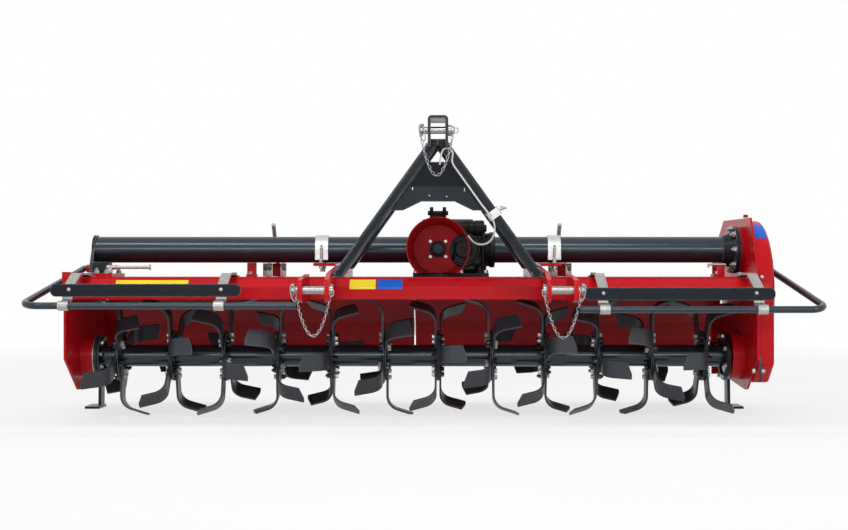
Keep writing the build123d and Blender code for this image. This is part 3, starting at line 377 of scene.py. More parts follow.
def paint(
    name, colour, dust, gloss, coat, edge_wear_and_highlight_colour, peel=0.1, edge_wear_and_highlight_share=0.5, specular=0.3, soft=0.0018
):
    """Sprayed paint: drifting shade, faint orange peel, dust, and a lighter edge colour that is partly
    worn thin paint and partly a painted highlight along the edges.
    """
    g = Graph(name)
    shade = g.range(g.noise(3.0, 3.0), 0.3, 0.7, 0.0, 1.0)
    darker = tuple(c * 0.80 for c in colour)
    base = g.mix(shade, darker, colour)
    dusty = g.range(g.noise(9.0, 6.0, 0.65), 0.55, 0.9, 0.0, 0.16)
    base = g.mix(dusty, base, dust)
    # Lighter colour near sharp edges: partly worn thin paint, partly a painted highlight along rounded
    # edges and bends.
    edge_wear_and_highlight = g.add("ShaderNodeMath", operation="MULTIPLY")
    g.link(g.edge(soft * 1.2), edge_wear_and_highlight.inputs[0])
    g.link(g.range(g.noise(38.0, 5.0), 0.35, 0.65, edge_wear_and_highlight_share * 0.3, edge_wear_and_highlight_share), edge_wear_and_highlight.inputs[1])
    base = g.mix(edge_wear_and_highlight.outputs["Value"], base, edge_wear_and_highlight_colour)
    rough = g.range(g.noise(14.0, 5.0), 0.3, 0.75, gloss, gloss + 0.14)
    normal = g.bump(g.noise(520.0, 2.0), peel, 0.0003, g.rounded(soft))
    return g.finish(base, rough, normal, coat=coat, coat_rough=0.08, specular=specular)


def casting(name, colour, high, gloss, grain=0.5):
    """Cast iron under thick black paint: a coarse sandy skin."""
    g = Graph(name)
    base = g.mix(g.range(g.noise(22.0, 6.0), 0.35, 0.7, 0.0, 1.0), colour, high)
    rough = g.range(g.noise(60.0, 4.0), 0.3, 0.7, gloss, gloss + 0.2)
    normal = g.bump(g.noise(330.0, 4.0), grain, 0.0006, g.rounded(0.003))
    return g.finish(base, rough, normal, specular=0.16)


def zinc(name, colour, spangle, gloss, metal=0.85):
    """Galvanised or zinc-plated steel: a spangle of crystals over fine scratches."""
    g = Graph(name)
    cells = g.add("ShaderNodeTexVoronoi")
    cells.inputs["Scale"].default_value = 90.0
    g.link(g.place, cells.inputs["Vector"])
    grey = g.range(cells.outputs["Color"], 0.0, 1.0, 0.0, 1.0)
    base = g.mix(grey, colour, spangle)
    rough = g.range(g.noise(45.0, 5.0), 0.3, 0.7, gloss, gloss + 0.2)
    scratch = g.noise(150.0, 3.0, 0.6, (1.0, 8.0, 3.0))
    normal = g.bump(scratch, 0.12, 0.0003, g.rounded(0.0008))
    return g.finish(base, rough, normal, metal=metal)


def steel(name, colour, rust, gloss, rust_share=0.12):
    """Bright machined steel with turning marks and a little tarnish."""
    g = Graph(name)
    tarnish = g.range(g.noise(35.0, 6.0, 0.7), 0.55, 0.8, 0.0, rust_share)
    base = g.mix(tarnish, colour, rust)
    rough = g.range(g.noise(80.0, 4.0), 0.3, 0.7, gloss, gloss + 0.15)
    marks = g.noise(260.0, 2.0, 0.5, (6.0, 1.0, 1.0))
    normal = g.bump(marks, 0.1, 0.0002, g.rounded(0.0008))
    return g.finish(base, rough, normal, metal=1.0)


def plastic(name, colour, gloss, grain=0.1, coat=0.0, specular=0.4):
    """Moulded plastic, rubber or printed film: an even shade with a fine grain."""
    g = Graph(name)
    darker = tuple(c * 0.88 for c in colour)
    base = g.mix(g.range(g.noise(12.0, 4.0), 0.3, 0.7, 0.0, 1.0), darker, colour)
    rough = g.range(g.noise(30.0, 4.0), 0.3, 0.7, gloss, gloss + 0.12)
    normal = g.bump(g.noise(800.0, 2.0), grain, 0.0002)
    return g.finish(base, rough, normal, coat=coat, specular=specular)


# The red paint's lighter edge colour is a painted highlight along edges and bends, over the wear.
RED = paint(
    "red_paint", (0.53, 0.005, 0.010), (0.40, 0.05, 0.05), 0.24, 0.06, (0.58, 0.05, 0.05),
    specular=0.12,
)
# Darker red: the input guard's own duller paint, also used as painted shade on the drive boss.
DEEP_RED = paint(
    "deep_red_and_boss_shade", (0.35, 0.004, 0.008), (0.26, 0.03, 0.03), 0.30, 0.04, (0.48, 0.07, 0.07),
    peel=0.2, specular=0.07,
)
# The pale edge colour of the anthracite paint is a painted highlight along rounded corners.
ANTHRACITE = paint(
    "anthracite_paint", (0.010, 0.0145, 0.020), (0.04, 0.045, 0.05), 0.24, 0.0, (0.34, 0.37, 0.42),
    edge_wear_and_highlight_share=0.75, specular=0.14, soft=0.004,
)
# The mast paint is anthracite with a wider, paler edge: a painted highlight along the arms' rounded
# corners.
MAST_PAINT = paint(
    "mast_paint", (0.011, 0.016, 0.022), (0.04, 0.045, 0.05), 0.20, 0.0, (0.34, 0.37, 0.42),
    edge_wear_and_highlight_share=1.0, specular=0.17, soft=0.0065,
)
TUBE_PAINT = paint(
    "tube_paint", (0.012, 0.018, 0.026), (0.03, 0.035, 0.045), 0.16, 0.0, (0.12, 0.13, 0.15),
    peel=0.02, specular=0.55,
)
TUBE_SHADER = TUBE_PAINT.node_tree.nodes["Principled BSDF"]
TUBE_SHADER.inputs["Specular Tint"].default_value = (0.78, 0.90, 1.0, 1.0)
BLADE = paint(
    "blade_paint", (0.036, 0.042, 0.052), (0.06, 0.06, 0.065), 0.34, 0.0, (0.24, 0.25, 0.27),
    peel=0.4, edge_wear_and_highlight_share=0.8, specular=0.35,
)
BLACK_CAST = casting("black_casting", (0.003, 0.003, 0.0035), (0.008, 0.008, 0.009), 0.3)
ZINC = zinc("zinc_plate", (0.30, 0.30, 0.30), (0.43, 0.43, 0.42), 0.22)
GALVANISED = zinc("galvanised_strap", (0.33, 0.32, 0.305), (0.47, 0.455, 0.435), 0.34)
BRIGHT_ZINC = zinc("bright_zinc", (0.50, 0.50, 0.495), (0.60, 0.60, 0.59), 0.34)
DULL_ZINC = zinc("dull_zinc", (0.32, 0.32, 0.32), (0.42, 0.42, 0.42), 0.4, metal=0.2)
STEEL = steel("bright_steel", (0.30, 0.30, 0.295), (0.20, 0.14, 0.10), 0.18)
CREAM = plastic("cream_coating", (0.68, 0.66, 0.60), 0.35, coat=0.2)
SEAL = plastic("black_seal", (0.008, 0.008, 0.009), 0.45, grain=0.25, specular=0.25)
YELLOW = plastic("yellow_film", (0.90, 0.68, 0.006), 0.25, grain=0.03, coat=0.1)
BLUE = plastic("blue_film", (0.006, 0.11, 0.58), 0.25, grain=0.03, coat=0.05, specular=0.2)
SHAFT_STEEL = steel("shaft_steel", (0.016, 0.018, 0.021), (0.02, 0.018, 0.016), 0.3)
DARK_STEEL = steel("dark_steel", (0.045, 0.052, 0.062), (0.05, 0.04, 0.035), 0.26)

# ------------------------------------------------------------------ CAD nodes
SKIN = (
    (RED, (
        "hood", "front_beam", "side_plate_left", "side_plate_right", "drive_case", "hinge_brackets",
        "rear_board_left", "rear_board_right", "hood_stiffener", "hitch_bracket_left",
        "hitch_bracket_right", "rotor_bearing_left", "rotor_bearing_right", "end_foot",
        "tube_supports", "guard_boss",
    )),
    # The drive boss takes the darker red as painted shade: it sits in shade beside the case.
    (DEEP_RED, ("input_guard", "drive_boss")),
    (MAST_PAINT, ("mast_arm_left", "mast_arm_right")),
    (ANTHRACITE, (
        "mast_stay_left", "mast_stay_right", "mast_web", "top_link_bracket", "deflector_left",
        "deflector_right", "blade_flanges", "tube_flange", "tube_end_plate", "parking_leg_left",
        "parking_leg_right",
    )),
    (TUBE_PAINT, ("top_tube_left", "top_tube_right", "guard_bar_left", "guard_bar_right", "rotor_tube")),
    (DULL_ZINC, ("adjusting_rod_left", "adjusting_rod_right")),
    (BLADE, ("blades_left_hand", "blades_right_hand")),
    (BLACK_CAST, ("gearbox", "gearbox_base", "gearbox_lug")),
    (GALVANISED, ("guard_straps", "guard_clamps")),
    (BRIGHT_ZINC, ("tube_clamps", "holder_clamp")),
    (ZINC, ("clamp_studs", "leg_pins", "rod_brackets", "stay_brackets")),
    (STEEL, ("input_shaft", "lower_pin_left", "lower_pin_right", "top_pin")),
    (CREAM, ("shaft_holder",)),
)
CAD_NODES = {obj["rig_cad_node"]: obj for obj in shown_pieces() if "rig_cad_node" in obj}
for material, names in SKIN:
    for name in names:
        if name in CAD_NODES:
            mesh = CAD_NODES[name].data
            mesh.materials.clear()
            mesh.materials.append(material)


# ------------------------------------------------------------------ fasteners
def hexagon(wide, high, washer=True, stud=0.0, sides=20):
    """A chamfered hexagon across its flats, on a washer, along +Z; stud stands out of a nut."""
    corner = wide / math.sqrt(3)
    base = wide * 0.14 if washer else 0.0
    pieces = [turned(((base, corner), (base + high * 0.82, corner), (base + high, corner * 0.84)), 6)]
    if washer:
        disc = ((0, corner * 1.18), (base * 0.8, corner * 1.18), (base, corner * 1.1))
        pieces.append(turned(disc, sides))
    if stud:
        pieces.append(stud_end(wide * 0.32, base + high, stud))
    only(*pieces)
    if len(pieces) > 1:
        bpy.ops.object.join()
    return smooth(bpy.context.object, 30)


def stud_end(radius, start, long):
    """The threaded end of a bolt that stands out of its nut."""
    pitch = radius * 0.3
    steps = [(start, radius)]
    while steps[-1][0] + 2 * pitch < start + long:
        height = steps[-1][0]
        steps += [(height + pitch * 0.5, radius * 0.88), (height + pitch, radius)]
    steps += [(start + long - pitch * 0.5, radius), (start + long, radius * 0.75)]
    return turned(steps, 12)


def dome(radius, high):
    """A low round bolt head along +Z."""
    steps = [(0, radius), (high * 0.3, radius), (high * 0.7, radius * 0.86), (high, radius * 0.5)]
    return smooth(turned(steps, 16), 60)


def round_places(x, y, z, way, radius, count, first=0.0):
    """Places in a circle round a point, on the plane that faces way (an axis)."""
    places = []
    for i in range(count):
        angle = math.radians(first + 360.0 * i / count)
        a, b = radius * math.cos(angle), radius * math.sin(angle)
        if abs(way.x) > 0.5:
            where = spot(x, y - a, z + b)
        elif abs(way.y) > 0.5:
            where = spot(x + a, y, z + b)
        else:
            where = spot(x + a, y + b, z)
        places.append((where, way, angle))
    return places


def fixed(name, master, places, body="chassis", material=ZINC):
    """Puts a fastener at all its places and makes one piece of them."""
    return joined(name, copies(master, places), body, material)


ROTOR_X0, ROTOR_X1 = span("blade_flanges")[0].x + 5, span("blade_flanges")[1].x - 5
FLANGE_COUNT = 12
FLANGE_PITCH = (ROTOR_X1 - ROTOR_X0) / (FLANGE_COUNT - 1)
BLADES_PER_FLANGE = 6
BLADE_STEP = 60.0              # degrees from one blade to the next
MIDDLE_FLANGE = 6              # the flanges after it stand one blade further round
FIRST_PHASE = 38.0             # degrees of the first flange's first blade, up from the front
PHASE_STEP = -25.5             # degrees that each flange is turned from the last
BLADE_BOLT_RADII = (60.0, 84.0)


def blade_bolts():
    """Two bolts and two nuts hold each blade on its flange."""
    heads, nuts = [], []
    for i in range(FLANGE_COUNT):
        x = ROTOR_X0 + i * FLANGE_PITCH
        extra = BLADE_STEP if i > MIDDLE_FLANGE else 0.0
        for k in range(BLADES_PER_FLANGE):
            angle = math.radians(FIRST_PHASE + PHASE_STEP * i + extra + BLADE_STEP * k)
            side = 1 if k % 2 == 0 else -1
            for radius in BLADE_BOLT_RADII:
                y, z = -radius * math.cos(angle), AXIS_Z + radius * math.sin(angle)
                heads.append((spot(x + side * 13.2, y, z), RIGHT * side, angle))
                nuts.append((spot(x - side * 5.2, y, z), LEFT * side, angle + 0.4))
    fixed("blade_bolts", hexagon(17, 9, sides=10), heads, "rotor", BRIGHT_ZINC)
    fixed("blade_nuts", hexagon(17, 11, stud=6, sides=10), nuts, "rotor", DARK_STEEL)


def rotor_ends():
    """Seal rings and bolts at both ends of the rotor."""
    left, right = span("rotor_tube")
    face_left, face_right = left.x + 46, right.x - 52
    ring_steps = ((0, 74), (0, 93), (3, 95), (11, 95), (14, 92), (14, 74))
    end = placed(ring(ring_steps, 64), spot(face_right - 12, 0, AXIS_Z), RIGHT)
    joined("drum_seal_ring", [end], "rotor", SEAL)
    places = round_places(face_right - 12, 0, AXIS_Z, LEFT, 84, 8, 22)
    fixed("drum_bolts", hexagon(17, 9), places, "rotor")
    plate = span("side_plate_left")[0].x + 6
    drum = ring(((0, 62.5), (0, 84), (6, 80), (44, 78), (44, 62.5)), 72)
    drum = placed(drum, spot(plate, 0, AXIS_Z), RIGHT)
    joined("left_drum", [drum], "chassis", RED)
    lip = ((0, 63), (0, 78.5), (1, 80.5), (4, 80.5), (5, 79), (5, 63))
    seal = placed(ring(lip, 64), spot(plate + 44.2, 0, AXIS_Z), RIGHT)
    joined("left_seal_ring", [seal], "chassis", BRIGHT_ZINC)
    rim = ring(((0, 75.2), (0, 83), (2, 85), (12, 85), (14, 83), (14, 75.2)), 64)
    rim = placed(rim, spot(face_left, 0, AXIS_Z), RIGHT)
    joined("left_end_rim", [rim], "rotor", ANTHRACITE)
    places = round_places(face_left + 14.2, 0, AXIS_Z, RIGHT, 62, 8, 10)
    fixed("left_end_bolts", hexagon(17, 9), places, "rotor")
    cover = turned(((0, 60), (3, 60), (5, 56), (5, 34), (12, 30), (14, 26), (14, 8), (15, 6)), 40)
    cover = placed(cover, spot(span("side_plate_left")[0].x - 0.2, 0, AXIS_Z), LEFT)
    joined("left_bearing_cover", [cover], "chassis", BLACK_CAST)
    x = span("side_plate_left")[0].x - 5
    fixed("left_bearing_bolts", hexagon(17, 9), round_places(x, 0, AXIS_Z, LEFT, 46, 6))


def hood_bolts():
    """Bolts of the straps, supports, feet and flange round the hood."""
    flats = [(-1301, 498), (-765, 498), (583, 485), (1123, 485)]
    fixed("flat_bolts", dome(7.5, 5), [(spot(x, -530.2, z), FORWARD, 0) for x, z in flats])
    nuts = [(spot(x, -517.6, z), REARWARD, 0.3) for x, z in flats]
    fixed("flat_nuts", hexagon(13, 7, stud=4), nuts)
    straps = [(spot(x, -204, 547.2), UP, 0.4) for x in (-1308, -765, 583, 1134)]
    fixed("strap_bolts", hexagon(17, 9), straps)
    foot = [(-1262, -128), (-1262, 72), (-1300, -128), (-1300, 66)]
    fixed("foot_bolts", hexagon(19, 10, stud=8), [(spot(x, y, 554.2), UP, 0.2) for x, y in foot])
    low, high = span("gearbox_base")
    columns = (low.x + 12, low.x + 105, high.x - 105, high.x - 12)
    base = [(x, y) for x in columns for y in (low.y + 11, high.y - 11)]
    fixed("base_bolts", hexagon(17, 10), [(spot(x, y, high.z + 0.1), UP, 0.5) for x, y in base])
    supports = [(x, y) for x in (-726, 1086) for y in (-26, 26)]
    fixed("support_bolts", hexagon(17, 9), [(spot(x, y, 551.2), UP, 0.2) for x, y in supports])
    flange = span("tube_flange")[1].x - 16
    places = round_places(flange, 0, TUBE_Z, LEFT, 81, 8)
    fixed("flange_bolts", hexagon(19, 11, stud=7), places)


def case_bolts():
    """Cover screws, plate bolts and plugs of the drive case."""
    plate, face = span("drive_case")
    reach = 246                # from the cover's two middles to its row of screws
    seats = []
    for degrees in range(-180, 180, 30):
        centre = CASE_Z if abs(degrees) < 91 else COVER_LOW_Z
        angle = math.radians(degrees)
        seats.append((reach * math.sin(angle), centre + reach * math.cos(angle)))
    screws = [(spot(face.x + 2.6, y, z), RIGHT, 0.2) for y, z in seats]
    fixed("case_screws", hexagon(15, 5.5, washer=False), screws)
    plugs = [(spot(face.x + 2.6, -60, 250), RIGHT, 0), (spot(face.x + 2.6, 90, 600), RIGHT, 0)]
    fixed("case_plugs", hexagon(27, 12), plugs, material=STEEL)
    front = [(-252, 541), (-252, 193)]
    fixed("plate_bolts", hexagon(17, 9), [(spot(plate.x - 8.2, y, z), LEFT, 0.2) for y, z in front])
    nose = [(spot(1199, -280.2, 541), FORWARD, 0.2), (spot(1204, -280.2, 193), FORWARD, 0)]
    fixed("case_front_bolts", dome(8, 6), nose)
    tongue = move_to(block((10, 3, 94), 1.2), spot(1193, -281.4, 199), UP)
    joined("case_front_tongue", [tongue], "chassis", DARK_STEEL)
    top = [(spot(1180, -92, 768), UP, 0)]
    fixed("case_top_nut", hexagon(16, 9), top, material=DEEP_RED)


# ------------------------------------------------------------------ drive case cover and stickers
def case_cover():
    """A pressed cover with a raised middle on the outside of the drive case."""
    face = span("drive_case")[1].x
    bpy.ops.object.select_all(action="DESELECT")
    bpy.ops.mesh.primitive_circle_add(vertices=96, radius=268 * MM, fill_type="NGON")
    cover = bpy.context.object
    edit(cover)
    pick(cover, lambda number, at: at.y < -0.001)
    bpy.ops.transform.translate(value=(0, (COVER_LOW_Z - CASE_Z) * MM, 0))
    bpy.ops.mesh.select_all(action="SELECT")
    steps = ((0.5, 2.4), (1.2, 0.3), (36, 0.0), (10, 6.0), (4, 1.2), (30, 0.0), (8, -3.0))
    for step, depth in steps:  # the first makes the rim; each other insets, then lifts or lowers
        if step < 1:
            bpy.ops.mesh.extrude_region_move(TRANSFORM_OT_translate={"value": (0, 0, depth * MM)})
        else:
            bpy.ops.mesh.inset(thickness=step * MM)
            bpy.ops.transform.translate(value=(0, 0, depth * MM))
    close(cover)
    piece = move_to(smooth(cover, 25), spot(face + 0.1, 0, CASE_Z), RIGHT, math.radians(90))
    return joined("case_cover", [piece], "chassis", RED)


def arc_sticker():
    """A blank blue sticker bent over the case's round top."""
    radius, wide = 280.3, 44
    first, last = 46, 71       # degrees up from the case's front
    bpy.ops.object.select_all(action="DESELECT")
    bpy.ops.mesh.primitive_circle_add(vertices=180, radius=radius * MM, fill_type="NOTHING")
    patch = bpy.context.object
    edit(patch)
    bpy.ops.mesh.extrude_edges_move(TRANSFORM_OT_translate={"value": (0, 0, wide * MM)})
    pick(patch, lambda number, at: not first < math.degrees(math.atan2(at.y, at.x)) < last)
    bpy.ops.mesh.delete(type="VERT")
    bpy.ops.mesh.select_all(action="SELECT")
    bpy.ops.mesh.normals_make_consistent(inside=False)
    bpy.ops.object.mode_set(mode="OBJECT")
    skin = patch.modifiers.new("skin", "SOLIDIFY")
    skin.thickness, skin.offset = 0.6 * MM, 1.0
    only(patch)
    bpy.ops.object.modifier_apply(modifier="skin")
    patch.matrix_world = Matrix(((0, 0, 1, 0), (-1, 0, 0, 0), (0, 1, 0, 0), (0, 0, 0, 1)))
    bpy.ops.object.transform_apply(location=True, rotation=True, scale=True)
    patch.location = spot(1196, 0, CASE_Z)
    bpy.ops.object.transform_apply(location=True)
    edit(patch)
    close(patch)
    joined("case_sticker", [smooth(patch, 30)], "chassis", BLUE)


def folded_sticker(wide, on_slant, on_front):
    """A thin blank film along x, folded over the beam's lower bend, which lies at the origin."""
    bpy.ops.object.select_all(action="DESELECT")
    bpy.ops.mesh.primitive_plane_add(size=1)
    film = bpy.context.object
    film.scale = (wide * MM, on_front * MM, 1)
    film.rotation_euler = (math.radians(90), 0, 0)
    film.location = (0, 0, -on_front / 2 * MM)
    bpy.ops.object.transform_apply(location=True, rotation=True, scale=True)
    edit(film)
    bpy.ops.mesh.select_all(action="DESELECT")
    bpy.ops.object.mode_set(mode="OBJECT")
    for edge in film.data.edges:
        edge.select = all(film.data.vertices[i].co.z > -0.0001 for i in edge.vertices)
    bpy.ops.object.mode_set(mode="EDIT")
    reach = on_slant * MM / math.sqrt(2)
    bpy.ops.mesh.extrude_edges_move(TRANSFORM_OT_translate={"value": (0, reach, reach)})
    bpy.ops.object.mode_set(mode="OBJECT")
    skin = film.modifiers.new("skin", "SOLIDIFY")
    skin.thickness, skin.offset = 0.5 * MM, 1.0
    corners = film.modifiers.new("corners", "BEVEL")
    corners.width, corners.segments = 0.2 * MM, 1
    for name in ("skin", "corners"):
        bpy.ops.object.modifier_apply(modifier=name)
    edit(film)
    return close(film)


def stickers():
    """Blank stickers along the front beam's slanted strip."""
    bend_y, bend_z = -303.9, 505.2
    for name, x, wide, on_slant, on_front, material in (
        ("beam_sticker_long", -1057, 268, 34, 2, YELLOW),
        ("beam_sticker_yellow", -278, 96, 37, 9, YELLOW),
        ("beam_sticker_blue", -178, 94, 37, 9, BLUE),
    ):
        film = move_to(folded_sticker(wide, on_slant, on_front), spot(x, bend_y, bend_z), UP)
        joined(name, [smooth(film, 30)], "chassis", material)


# ------------------------------------------------------------------ hitch pins and chains
def chain_link():
    """One oval link that lies along +Z, 15 mm long."""
    bpy.ops.object.select_all(action="DESELECT")
    bpy.ops.mesh.primitive_torus_add(
        major_segments=14, minor_segments=6, major_radius=4.2 * MM, minor_radius=1.5 * MM
    )
    link = bpy.context.object
    edit(link)
    pick(link, lambda number, at: at.x > 0)
    bpy.ops.transform.translate(value=(4.0 * MM, 0, 0))
    bpy.ops.object.mode_set(mode="OBJECT")
    link.location = (-2.0 * MM, 0, 0)
    link.rotation_euler = (0, math.radians(90), 0)
    bpy.ops.object.transform_apply(location=True, rotation=True, scale=True)
    return smooth(link, 60)


def hanging(start, end, lowest, count=60):
    """A chain's line between two places (mm), a curve that hangs down to the lowest height."""
    drop = 0.5 * (start[2] + end[2]) - lowest
    line = []
    for i in range(count + 1):
        t = i / count
        x, y, z = (a + (b - a) * t for a, b in zip(start, end))
        line.append(spot(x, y, z - drop * 4 * t * (1 - t)))
    return line


def chain(name, line, pitch=11.5):
    """Links at an even pitch along a line, each turned a quarter from the last."""
    places, walked, need, number = [], 0.0, 0.5 * pitch * MM, 0
    for before, after in zip(line, line[1:]):
        step = after - before
        while walked + step.length >= need:
            where = before + step * ((need - walked) / step.length)
            places.append((where, step.normalized(), 0.35 + math.radians(90) * (number % 2)))
            number += 1
            need += pitch * MM
        walked += step.length
    return fixed(name, chain_link(), places)


RING_POINTS = [                # the corners of a pull ring of 14 mm radius, aside and up
    (14 * math.cos(math.radians(a)), 14 * math.sin(math.radians(a))) for a in range(0, 360, 30)
]


def linch_pin(name, where, lean):
    """A spring-ring pin through a hitch pin's end, its long ring swung down to the front."""
    x, y, z = where
    shank = turned(((-6, 3), (-4, 4.5), (26, 4.5), (28, 7), (35, 7), (37, 5)), 16)
    shank = placed(shank, spot(x, y, z - 14), UP, 40)
    loop = []
    for degrees in range(0, 360, 24):
        angle = math.radians(degrees)
        across, down = 10 * math.sin(angle), 30 * math.cos(angle)
        loop.append(spot(x + lean * (4 + 0.18 * (down - 30)) + across, y - 17, z - 10 + down))
    wire = rod(loop, 2.2, closed=True)
    joined(name, [shank, wire], "chassis", ZINC)


def hitch_hardware():
    """Linch pins, pull rings and chains of the three hitch pins."""
    linch_pin("linch_pin_left", (-506, -560, 496), -1)
    linch_pin("linch_pin_right", (506, -560, 496), 1)
    chain("chain_left", hanging((-374, -577, 488), (-494, -580, 470), 338))
    chain("chain_right", hanging((374, -577, 478), (497, -580, 470), 332))
    for side in (-1, 1):
        points = [spot(side * 372 + dx * 0.6, -577, 488 + dz) for dx, dz in RING_POINTS]
        eye = rod(points, 2.0, closed=True)
        joined(f"pin_ring_{'left' if side < 0 else 'right'}", [eye], "chassis", ZINC)
    linch_pin("linch_pin_top", (-57, TOP_PIN_Y, TOP_PIN_Z), -1)
    knob = turned(((0, 13), (1, 15), (7, 15), (9, 12), (11, 7), (12, 3)), 24)
    knob = placed(knob, spot(48, TOP_PIN_Y, TOP_PIN_Z), RIGHT, 40)
    points = [spot(62 + dx * 0.7, TOP_PIN_Y, TOP_PIN_Z + dz * 0.7) for dx, dz in RING_POINTS]
    eye = rod(points, 2.2, closed=True)
    joined("top_pin_knob", [knob, eye], "chassis", ZINC)
    chain("chain_top", hanging((-60, -556, 1042), (52, -552, 1046), 900))


# ------------------------------------------------------------------ latches, bar caps, mast, clamps
def latches():
    """The bright latches under the top tube, one at each end."""
    bar = turned(((0, 5), (1, 6), (128, 6), (129, 5)), 16)
    bar = placed(bar, spot(-1224, LATCH_Y, LATCH_Z), RIGHT, 40)
    sleeve = turned(((0, 8), (1, 9.5), (14, 9.5), (15, 7.5), (22, 7.5), (23, 9), (38, 9), (39, 7)), 20)
    sleeve = placed(sleeve, spot(-1262, LATCH_Y, LATCH_Z), RIGHT, 40)
    grip = turned(((-11, 3), (-10, 4.2), (10, 4.2), (11, 3)), 12)
    grip = placed(grip, spot(-1098, LATCH_Y, LATCH_Z), UP, 40)
    seat = block((18, 18, 20), 3)
    seat = move_to(seat, spot(-1250, LATCH_Y, 564), UP)
    joined("latch_left", [bar, sleeve, grip, seat], "chassis", GALVANISED)
    short = turned(((0, 3), (1, 4.5), (68, 4.5), (69, 3)), 16)
    short = placed(short, spot(1034, -100, 588), RIGHT, 40)
    tip = turned(((-10, 2.5), (-9, 4), (5, 4), (6, 3)), 12)
    tip = placed(tip, spot(1036, -100, 586), UP, 40)
    foot = move_to(block((26, 20, 50), 3), spot(1086, -86, 566), UP)
    joined("latch_right", [short, tip], "chassis", GALVANISED)
    joined("latch_right_foot", [foot], "chassis", RED)


def bar_caps():
    """Black plastic plugs in the inner ends of the guard bars."""
    caps = []
    for name, side, z in (("guard_bar_left", -1, 442), ("guard_bar_right", 1, 429)):
        low, high = span(name)
        x = high.x if side < 0 else low.x
        cap = turned(((-4, 9), (0, 9), (0.2, 12.4), (3, 12.4), (5, 10), (5.6, 6)), 28)
        caps.append(placed(cap, spot(x, -575, z), RIGHT * -side))
    joined("bar_caps", caps, "chassis", SEAL)


def mast_details():
    """Rivets and tabs on the web, bolts of the stays and bracket, and the holder's clamp screw."""
    rivets = [(spot(x, -452.9, z), FORWARD, 0) for x, z in ((-31, 833), (31, 830))]
    fixed("web_rivets", dome(3.4, 2), rivets)
    tabs = [move_to(block((4, 5, 14), 1), spot(x, -454, z), UP) for x, z in ((-91, 858), (95, 854))]
    joined("web_tabs", tabs, "chassis", ZINC)
    low, high = span("stay_brackets")
    reach = max(abs(low.x), abs(high.x)) + 0.2
    places = [(spot(side * reach, -130, 584), RIGHT * side, 0.2) for side in (-1, 1)]
    fixed("stay_bolts", hexagon(22, 12, stud=8), places)
    places = [(spot(side * 36.2, -420, 1016), RIGHT * side, 0.3) for side in (-1, 1)]
    fixed("bracket_bolts", hexagon(17, 9), places)
    corner = span("holder_clamp")[1]
    places = [(spot(corner.x - 6, -460, corner.z - 8), RIGHT, 0)]
    fixed("holder_screw", hexagon(13, 8, stud=12), places)


def clamp_nuts():
    """Nuts on the tube clamps' feet, and on each clamp's front a black film that is the painted shade of
    its slot, and a round head.
    """
    clamps = (-CLAMP_X, CLAMP_X)
    places = [(spot(x, y, 594.2), UP, 0.3) for x in clamps for y in (-62.05, 62.05)]
    fixed("clamp_nuts", hexagon(17, 13, sides=16), places)
    # A thin black film stands in for each slot: painted shade where the slot is.
    slot_shades = [move_to(block((6, 46, 1.2), 0.5, 2), spot(x, -57.2, 640), FORWARD) for x in clamps]
    joined("clamp_slot_shades", slot_shades, "chassis", SEAL)
    fixed("clamp_heads", dome(5, 3), [(spot(x, -57.4, 652), FORWARD, 0) for x in clamps])


# ------------------------------------------------------------------ shaft holder
HOLDER_BENDS = [               # where the bent wire runs, from its hook to its free end
    (6.5, -499.5, 940), (9.8, -498.3, 985), (27.5, -499.2, 1003), (55.1, -498.8, 990),
    (48, -495.8, 956), (55, -494.3, 938), (66, -493.0, 924), (152, -482.8, 804), (161, -481.6, 792),
    (178, -480, 772), (194, -477, 750), (203, -468, 726), (203, -452, 697), (189, -425, 669),
    (164, -388, 658), (140, -350, 662), (122, -312, 677), (112, -292, 693),
]


def holder_wire():
    """The bent wire that holds the drive shaft up, in one smooth sweep."""
    wire = rod([spot(*place) for place in HOLDER_BENDS], 3.4)
    joined("holder_wire", [wire], "chassis", CREAM)
    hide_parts("shaft_holder")


# ------------------------------------------------------------------ input guard and shaft
def input_details():
    """The guard's four bolts and the black seal in its middle."""
    back = span("input_guard")[1].y - 4.4
    places = [(spot(dx, back, SHAFT_Z + dz), FORWARD, 0.2) for dx in (-29, 29) for dz in (-29, 29)]
    fixed("guard_bolts", hexagon(13, 7, washer=False), places)
    lip = ring(((0, 26.4), (0, 29), (5, 29), (7, 28), (7, 26.4)), 48)
    lip = placed(lip, spot(0, back - 0.2, SHAFT_Z), FORWARD)
    joined("input_seal", [lip], "chassis", SEAL)


def input_spline():
    """The splined drive shaft: twenty teeth round the stub, a groove, and a chamfered end."""
    low, high = span("input_shaft")
    long = high.y - low.y
    sides, teeth = 80, 20
    bpy.ops.object.select_all(action="DESELECT")
    bpy.ops.mesh.primitive_circle_add(vertices=sides, radius=20.6 * MM, fill_type="NGON")
    shaft = bpy.context.object
    edit(shaft)
    pick(shaft, lambda number, at: number % (sides // teeth) in (2, 3))
    bpy.ops.transform.resize(value=(0.91, 0.91, 1), center_override=(0, 0, 0))
    bpy.ops.mesh.select_all(action="SELECT")
    height = 0.0
    for depth, scale in ((24, 1.0), (0.4, 0.88), (8, 1.0), (0.4, 1 / 0.88), (42, 1.0), (3, 0.9)):
        height += depth
        bpy.ops.mesh.extrude_region_move(TRANSFORM_OT_translate={"value": (0, 0, depth * MM)})
        bpy.ops.transform.resize(value=(scale, scale, 1), center_override=(0, 0, height * MM))
    close(shaft)
    shaft = placed(shaft, spot(0, low.y + 78.2, SHAFT_Z), FORWARD, 20)
    neck = turned(((0, 25.9), (long - 81, 25.9), (long - 79, 24), (long - 78, 20)), 48)
    neck = placed(neck, spot(0, high.y, SHAFT_Z), FORWARD, 25)
    joined("input_spline", [shaft], "input", SHAFT_STEEL)
    joined("input_neck", [neck], "input", SEAL)
    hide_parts("input_shaft")


